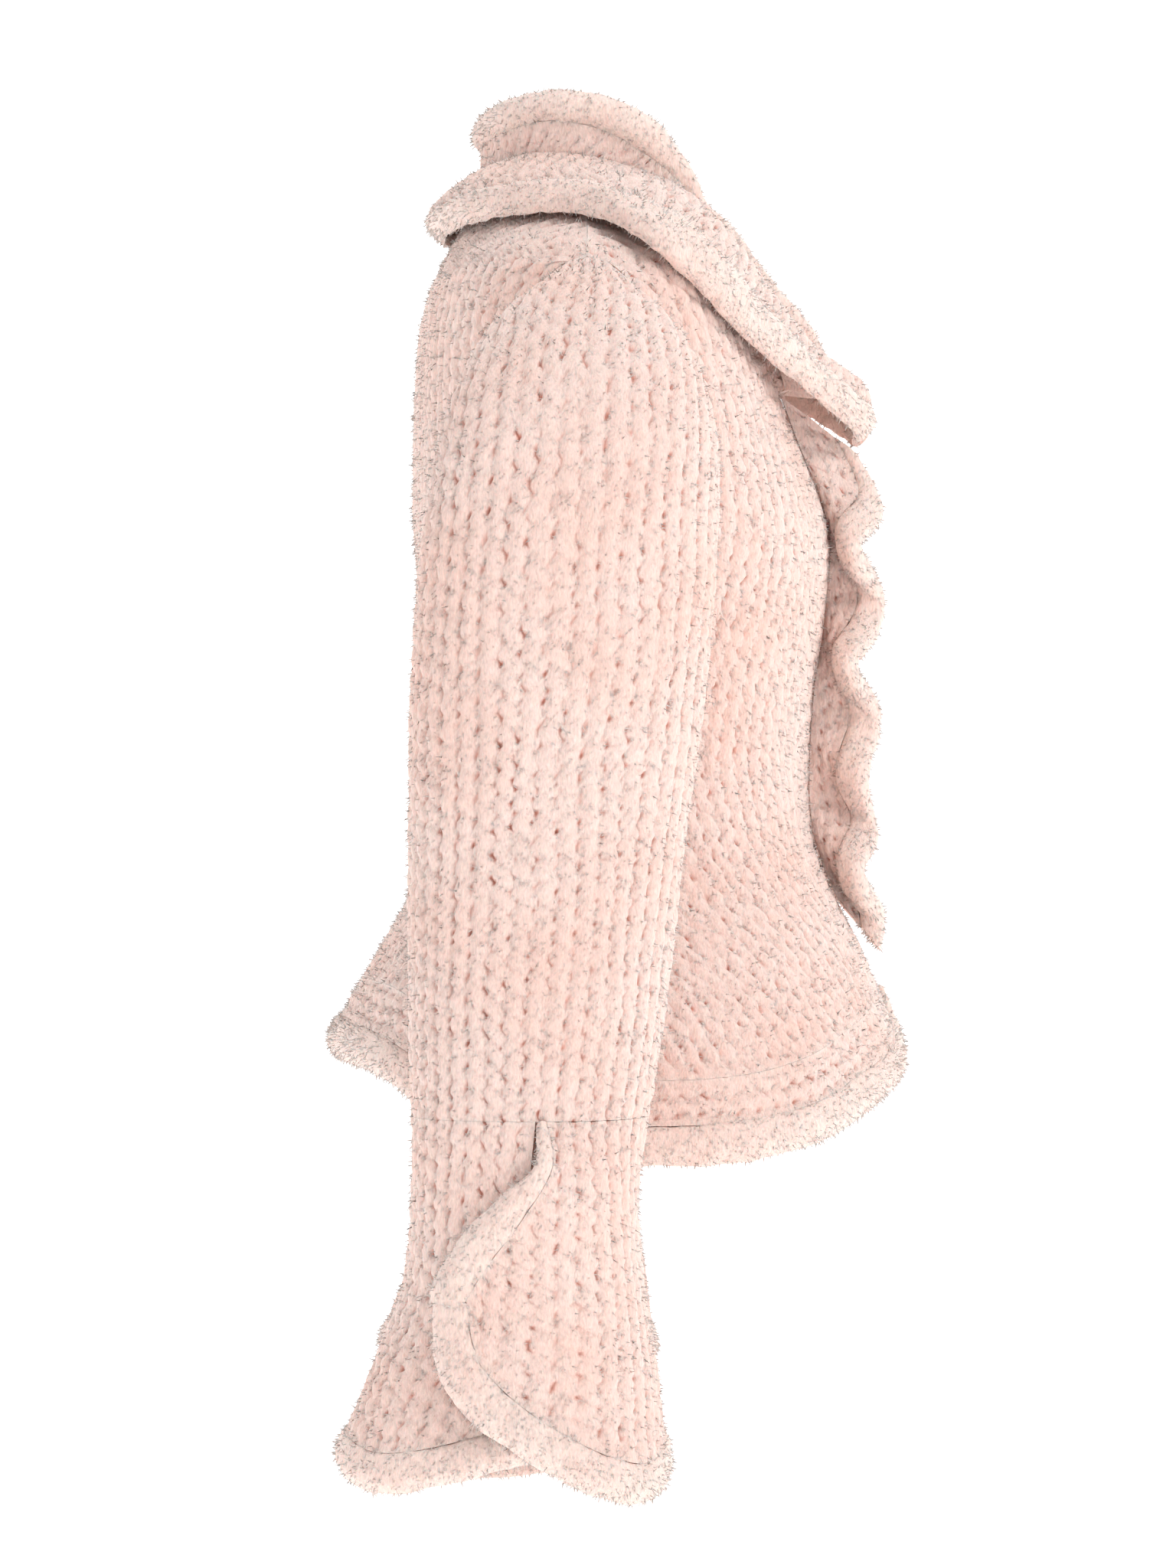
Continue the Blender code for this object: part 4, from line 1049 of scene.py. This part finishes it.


def stitch_tree():
    tree, given, result = shape_tree("knitted stitches", {
        "Depth": 0.0036, "Crease": 0.5, "Sway": 0.1, "Lean": 0.55, "Lumps": 0.0012})
    column, row, cover = (named(tree, label) for label in ("column", "row", "cover"))
    column = column + (row * math.tau).math("SINE") * given["Sway"]
    column = column + noise(tree, DRIFT_SCALE, 2.0) * 0.5
    off_centre = both_ways(column.math("FRACT"))
    row = row + chance(tree, STITCH_SEED, {"ID": column.math("FLOOR")})
    along = both_ways((row + off_centre * (given["Lean"] * 0.5)).math("FRACT"))
    groove = 1.0 - (1.0 - off_centre**2.0 * RIB_FLATNESS).math("SQRT")
    end = abs(along) ** 4.0
    sink = (groove + end * given["Crease"]) * given["Depth"] * -1.0
    height = (sink + noise(tree, LUMP_SCALE, 2.0) * given["Lumps"]) * cover
    dash = (abs(along) ** 1.5).math("MULTIPLY_ADD", *DASH_SHADES)
    # The puff is lowest in the grooves and at the stitch ends, where the material paints shade.
    puff = 1.0 - (abs(off_centre) ** 6.0 * dash + end * END_SHADE)
    # The shade is stored before the points move, so it matches the relief.
    shaded = stored(tree, given["Geometry"], "puff", 1.0 - (1.0 - puff) * cover)
    fill_in(result, {0: pushed(tree, shaded, named(tree, "out", "FLOAT_VECTOR"), height)})
    return tree

STITCHES = stitch_tree()
print("stitch tree:", len(STITCHES.nodes), "nodes")

# %% [markdown]
# Smooth bands have no stitches, but they aren't even either: dense fur sewn over an edge bunches in
# soft lumps. A second small tree pushes slow noise into them and stores the same `puff` value, which
# is lower where its quicker bunches sink, so that the material paints shade into their dips.

# %% The band tree
SLOW_SCALE, QUICK_SCALE = 45.0, 120.0
BUNCH_SHADES = (0.3, 0.75)        # of a band's painted shade in its dips: how much it varies, and its middle value


def band_tree():
    tree, given, result = shape_tree("bunched band", {"Lumps": 0.0017, "Bunches": 0.0011})
    quick = noise(tree, QUICK_SCALE, 1.0)
    height = noise(tree, SLOW_SCALE, 2.0) * given["Lumps"] + quick * given["Bunches"]
    # The quick noise both raises the bunches and lightens them, so their dips get painted shade.
    shaded = stored(tree, given["Geometry"], "puff", quick.math("MULTIPLY_ADD", *BUNCH_SHADES))
    normal = Term(add(tree, "GeometryNodeInputNormal", {}))
    fill_in(result, {0: pushed(tree, shaded, normal, height)})
    return tree

BUNCHES = band_tree()
print("band tree:", len(BUNCHES.nodes), "nodes")

# %% [markdown]
# ## Pile by Geometry Nodes
# Fur is too fine to model hair by hair. Short three-sided tufts, scattered over the face and leaning
# down the way the pile lies, break up the outline and catch the light as bunched hairs do.

# %% The pile tree
PILE_SEED = 5
TUFT_LENGTH = 0.0040
TUFT_RADIUS = 0.00042
TUFT_SIZES = {"Min": 0.55, "Max": 1.15}
TUFT_SPREAD = {"Min": (-0.8, -0.8, -0.9), "Max": (0.8, 0.8, 0.3)}
TUFT_PUFF = 0.8          # tufts stay as light as the tops of the stitches
LEAST_COVER = 0.05       # no tufts grow where a point has less


def pile_tree():
    tree, given, result = shape_tree("fur pile", {
        "Density": 60000.0, "Length": TUFT_LENGTH, "Material": "Material"})
    density = named(tree, "cover").math("GREATER_THAN", LEAST_COVER) * given["Density"]
    scatter = add(tree, "GeometryNodeDistributePointsOnFaces", {
        "Mesh": given["Geometry"], "Density": density, "Seed": PILE_SEED})
    upright = Term(scatter, "Normal")
    shade = named(tree, "puff").math("MAXIMUM", TUFT_PUFF)
    points = stored(tree, Term(scatter, "Points"), "puff", shade)
    points = stored(tree, points, "out", upright, "FLOAT_VECTOR")
    points = stored(tree, points, "tuft", 1.0)
    tuft = add(tree, "GeometryNodeMeshCone", {
        "Vertices": 3, "Side Segments": 1, "Fill Segments": 1, "Radius Top": 0.0,
        "Radius Bottom": TUFT_RADIUS, "Depth": given["Length"]}, fill_type="NGON")
    spread = chance(tree, PILE_SEED + 1, TUFT_SPREAD, "FLOAT_VECTOR")
    lean = Term(add(tree, "ShaderNodeVectorMath", {0: upright, 1: spread}, operation="ADD"))
    turn = Term(add(tree, "FunctionNodeAlignRotationToVector", {"Vector": lean}, axis="Z"))
    place = add(tree, "GeometryNodeInstanceOnPoints", {
        "Points": points, "Instance": Term(tuft, "Mesh"), "Rotation": turn,
        "Scale": chance(tree, PILE_SEED + 2, TUFT_SIZES)})
    tufts = Term(add(tree, "GeometryNodeRealizeInstances", {"Geometry": Term(place)}))
    join = add(tree, "GeometryNodeJoinGeometry", {"Geometry": given["Geometry"]})
    fill_in(join, {"Geometry": tufts})
    finish = add(tree, "GeometryNodeSetMaterial", {"Geometry": Term(join), "Material": given["Material"]})
    smooth_shaded = Term(add(tree, "GeometryNodeSetShadeSmooth", {"Geometry": Term(finish)}))
    # A tuft takes the light as the knit under it does, or its dark side would look like dirt.
    own = Term(add(tree, "GeometryNodeInputNormal", {}))
    under = named(tree, "out", "FLOAT_VECTOR")
    blend = Term(add(tree, "ShaderNodeMix", {
        0: named(tree, "tuft"), "A": own, "B": under}, data_type="VECTOR"), "Result")
    lit = add(tree, "GeometryNodeSetMeshNormal", {
        "Mesh": smooth_shaded, "Custom Normal": blend}, mode="FREE", domain="CORNER")
    fill_in(result, {0: Term(lit)})
    return tree

PILE = pile_tree()
print("pile tree:", len(PILE.nodes), "nodes")

# %% [markdown]
# ## Colour of the fur
# Dyed pale pink fur is lightest at its tips and deepest in its grooves, where the deeper colour of
# the roots is mixed with painted shade, and it varies slowly where strips of different skins meet.
# A shared group mixes these three effects, and each material sets its own tip colour and its root
# colour with the painted groove shade in it. A fine stretched noise bumps the surface like hairs.

# %% Shared fur group
GROOVES = {"From Min": 0.05, "From Max": 0.85}
PATCHES = {"From Min": 0.42, "From Max": 0.72, "To Max": 0.55}
STREAKS = {"From Min": 0.3, "From Max": 0.7, "To Min": 0.84, "To Max": 1.06}
PATCH_SCALE, HAIR_SCALE = 13.0, 900.0
HAIR_STRETCH = (1.0, 1.0, 0.35)
HAIR_RELIEF = 0.0008


def ranged(tree, value, limits, **settings):
    return Term(add(tree, "ShaderNodeMapRange", {"Value": value, **limits}, **settings))


def mixed(tree, factor, a, b, **settings):
    inputs = {0: factor, "A": a, "B": b}
    return Term(add(tree, "ShaderNodeMix", inputs, data_type="RGBA", **settings), "Result")


def fur_group():
    inputs = {"Tip": "Color", "Root": "Color", "Flush": "Color", "Hair height": 0.0}
    outputs = {"Colour": "Color", "Normal": "Vector"}
    tree, given, result = new_tree("fur colour and shade", inputs, outputs, "ShaderNodeTree")
    puff = Term(add(tree, "ShaderNodeAttribute", {}, attribute_name="puff"), "Fac")
    grooves = ranged(tree, puff, GROOVES, interpolation_type="SMOOTHSTEP")
    # Root colour in the grooves: the roots' deeper pink mixed with painted shade.
    colour = mixed(tree, grooves, given["Root"], given["Tip"])
    spot = Term(add(tree, "ShaderNodeTexCoord", {}), "Object")
    patches = Term(add(tree, "ShaderNodeTexNoise", {"Vector": spot, "Scale": PATCH_SCALE, "Detail": 3.0}))
    colour = mixed(tree, ranged(tree, patches, PATCHES), colour, given["Flush"])
    stretched = Term(add(tree, "ShaderNodeMapping", {"Vector": spot, "Scale": HAIR_STRETCH}))
    hairs = Term(add(tree, "ShaderNodeTexNoise", {"Vector": stretched, "Scale": HAIR_SCALE, "Detail": 3.0}))
    colour = mixed(tree, 1.0, colour, ranged(tree, hairs, STREAKS), blend_type="MULTIPLY")
    bump = add(tree, "ShaderNodeBump", {
        "Strength": given["Hair height"], "Distance": HAIR_RELIEF, "Height": hairs})
    fill_in(result, {"Colour": colour, "Normal": Term(bump)})
    return tree

FUR_COLOUR_AND_SHADE = fur_group()
print("fur group:", len(FUR_COLOUR_AND_SHADE.nodes), "nodes")

# %% The two finishes
def plain_material(name, inputs):
    """A material and its shader, with these inputs set."""
    material = bpy.data.materials.new(name)
    material.use_nodes = True
    shader = material.node_tree.nodes["Principled BSDF"]
    fill_in(shader, inputs)
    return material, shader


def fur_material(name, tip, root, flush, hair_height):
    material, shader = plain_material(name, {
        "Roughness": 0.92, "Specular IOR Level": 0.15,
        "Subsurface Weight": 0.45, "Subsurface Scale": 0.003, "Subsurface Radius": (1.0, 0.45, 0.35),
        "Sheen Weight": 0.2, "Sheen Roughness": 0.6, "Sheen Tint": (1.0, 0.84, 0.78, 1.0)})
    group = add(material.node_tree, "ShaderNodeGroup", {
        "Tip": (*tip, 1), "Root": (*root, 1), "Flush": (*flush, 1), "Hair height": hair_height,
    }, node_tree=FUR_COLOUR_AND_SHADE)
    fill_in(shader, {"Base Color": Term(group, "Colour"), "Normal": Term(group, "Normal")})
    return material

# Each root colour is the deeper pink of the roots with the painted shade of the grooves in it.
KNIT_FUR = fur_material("knitted fur", (0.87, 0.68, 0.615), (0.64, 0.25, 0.185), (0.85, 0.565, 0.48), 0.8)
BAND_FUR = fur_material("smooth fur", (0.89, 0.72, 0.65), (0.80, 0.48, 0.40), (0.87, 0.63, 0.56), 0.6)
print("finishes:", KNIT_FUR.name, "and", BAND_FUR.name)

# %% [markdown]
# ## Making every piece
# Each tree is put on the piece as a modifier, its inputs are set by their identifiers, and the
# result is turned into a plain mesh before the next step.

# %% Applying a tree
def apply_tree(piece, tree, values):
    modifier = piece.modifiers.new(tree.name, "NODES")
    modifier.node_group = tree
    for item in tree.interface.items_tree:
        if item.item_type == "SOCKET" and item.in_out == "INPUT" and item.name in values:
            modifier[item.identifier] = values[item.name]
    graph = bpy.context.evaluated_depsgraph_get()
    mesh = bpy.data.meshes.new_from_object(piece.evaluated_get(graph))
    piece.modifiers.remove(modifier)
    old = piece.data
    piece.data = mesh
    mesh.name = piece.name
    bpy.data.meshes.remove(old)


# For each finish: how the piece is made, its relief, its material and its tufts to a square metre.
Finish = namedtuple("Finish", "make relief material density")
FINISHES = {
    "knit": Finish(knitted_piece, STITCHES, KNIT_FUR, 42000.0),
    "edging": Finish(smooth_piece, BUNCHES, BAND_FUR, 115000.0),
}
PIECES = {}
SKIN_AREA = {}           # square metres of each piece before its relief, counting one side
for node, wall in WALLS.items():
    finish = FINISHES[wall.finish]
    made = finish.make(node)
    SKIN_AREA[node] = sum(face.area for face in made.data.polygons) / 2
    apply_tree(made, finish.relief, {})
    apply_tree(made, PILE, {"Density": finish.density, "Material": finish.material})
    PIECES[node] = made
    print(node, len(made.data.loops) - 2 * len(made.data.polygons), "triangles")

# %% [markdown]
# Every piece rides on the one body and stands for its CAD node, which is hidden, and the size that
# a maker would cut before sewing it on is worked out and printed.

# %% Each piece on the body, in place of its CAD node
def cut_size(node):
    """Width, length and area of what shows of a piece, laid flat, in metres."""
    grid = WALLS[node].outer
    if WALLS[node].closed:
        grid = np.concatenate([grid, grid[:, :1]], axis=1)
    sides = [np.linalg.norm(np.diff(grid, axis=axis), axis=2).sum(axis=axis).max() * MM for axis in (1, 0)]
    wide, long = min(sides), max(sides)
    return max(wide, SKIN_AREA[node] / long), long, SKIN_AREA[node]


for node, piece in PIECES.items():
    wide, long, area = cut_size(node)
    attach(piece, "root")
    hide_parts(node)
    "knitted_fur" if WALLS[node].finish == "knit" else "smooth_fur"
    min(area, wide * long)
    print(node, "cut", round(wide, 3), "by", round(long, 3), "m")

# %% [markdown]
# ## Studio
# A pale sweep and large soft lamps, brightest from the camera's side, as in a catalogue picture.

# %% Floor and sweep
FLOOR_HEIGHT = -0.805
SWEEP_FRONT, SWEEP_BACK = -6.0, 1.6
SWEEP_TOP = 4.0
SWEEP_HALF_WIDTH = 6.0
SWEEP_RADIUS = 0.8
SWEEP_STEPS = 12
PAPER_GLOW = 0.6         # the sweep is lit from behind, so it stays white

profile = [(SWEEP_FRONT, FLOOR_HEIGHT)]
for angle in np.linspace(0.0, math.pi / 2, SWEEP_STEPS + 1):
    profile.append((SWEEP_BACK - SWEEP_RADIUS * (1 - math.sin(angle)),
                    FLOOR_HEIGHT + SWEEP_RADIUS * (1 - math.cos(angle))))
profile.append((SWEEP_BACK, SWEEP_TOP))
sweep_mesh = bpy.data.meshes.new("floor")
vertices = [(x, y, z) for x, z in profile for y in (-SWEEP_HALF_WIDTH, SWEEP_HALF_WIDTH)]
strips = [(2 * i, 2 * i + 2, 2 * i + 3, 2 * i + 1) for i in range(len(profile) - 1)]
sweep_mesh.from_pydata(vertices, [], strips)
sweep_mesh.shade_smooth()
floor = placed("floor", sweep_mesh)
paper, _ = plain_material("pale paper", {
    "Base Color": (0.93, 0.93, 0.93, 1), "Roughness": 0.9,
    "Emission Color": (1.0, 1.0, 1.0, 1), "Emission Strength": PAPER_GLOW})
floor.data.materials.append(paper)
print("floor at", FLOOR_HEIGHT)

# %% Lamps
LAMP_AIM = (0.0, 0.0, -0.35)
WORLD_LIGHT = 0.54
LAMPS = table("name spot size power",
    ("key", (-2.2, -2.0, 2.0), 1.2, 57.0),
    ("fill", (-2.6, 2.4, 0.4), 2.4, 10.0),
    ("top", (0.2, 0.0, 2.6), 2.2, 14.0),
)
for lamp in LAMPS:
    data = bpy.data.lights.new(lamp.name, "AREA")
    data.shape = "DISK"
    data.size = lamp.size
    data.energy = lamp.power
    light = placed(lamp.name, data)
    light.location = lamp.spot
    aim = unit(np.subtract(LAMP_AIM, lamp.spot))
    light.rotation_euler = (math.acos(-aim[2]), 0.0, math.atan2(aim[1], aim[0]) - math.pi / 2)

# A catalogue picture keeps white paper white, so the plain view transform is used.
bpy.context.scene.view_settings.view_transform = "Standard"
world = bpy.data.worlds.new("studio")
bpy.context.scene.world = world
world.use_nodes = True
fill_in(world.node_tree.nodes["Background"], {"Color": (1.0, 1.0, 1.0, 1), "Strength": WORLD_LIGHT})
print("lamps:", len(LAMPS))
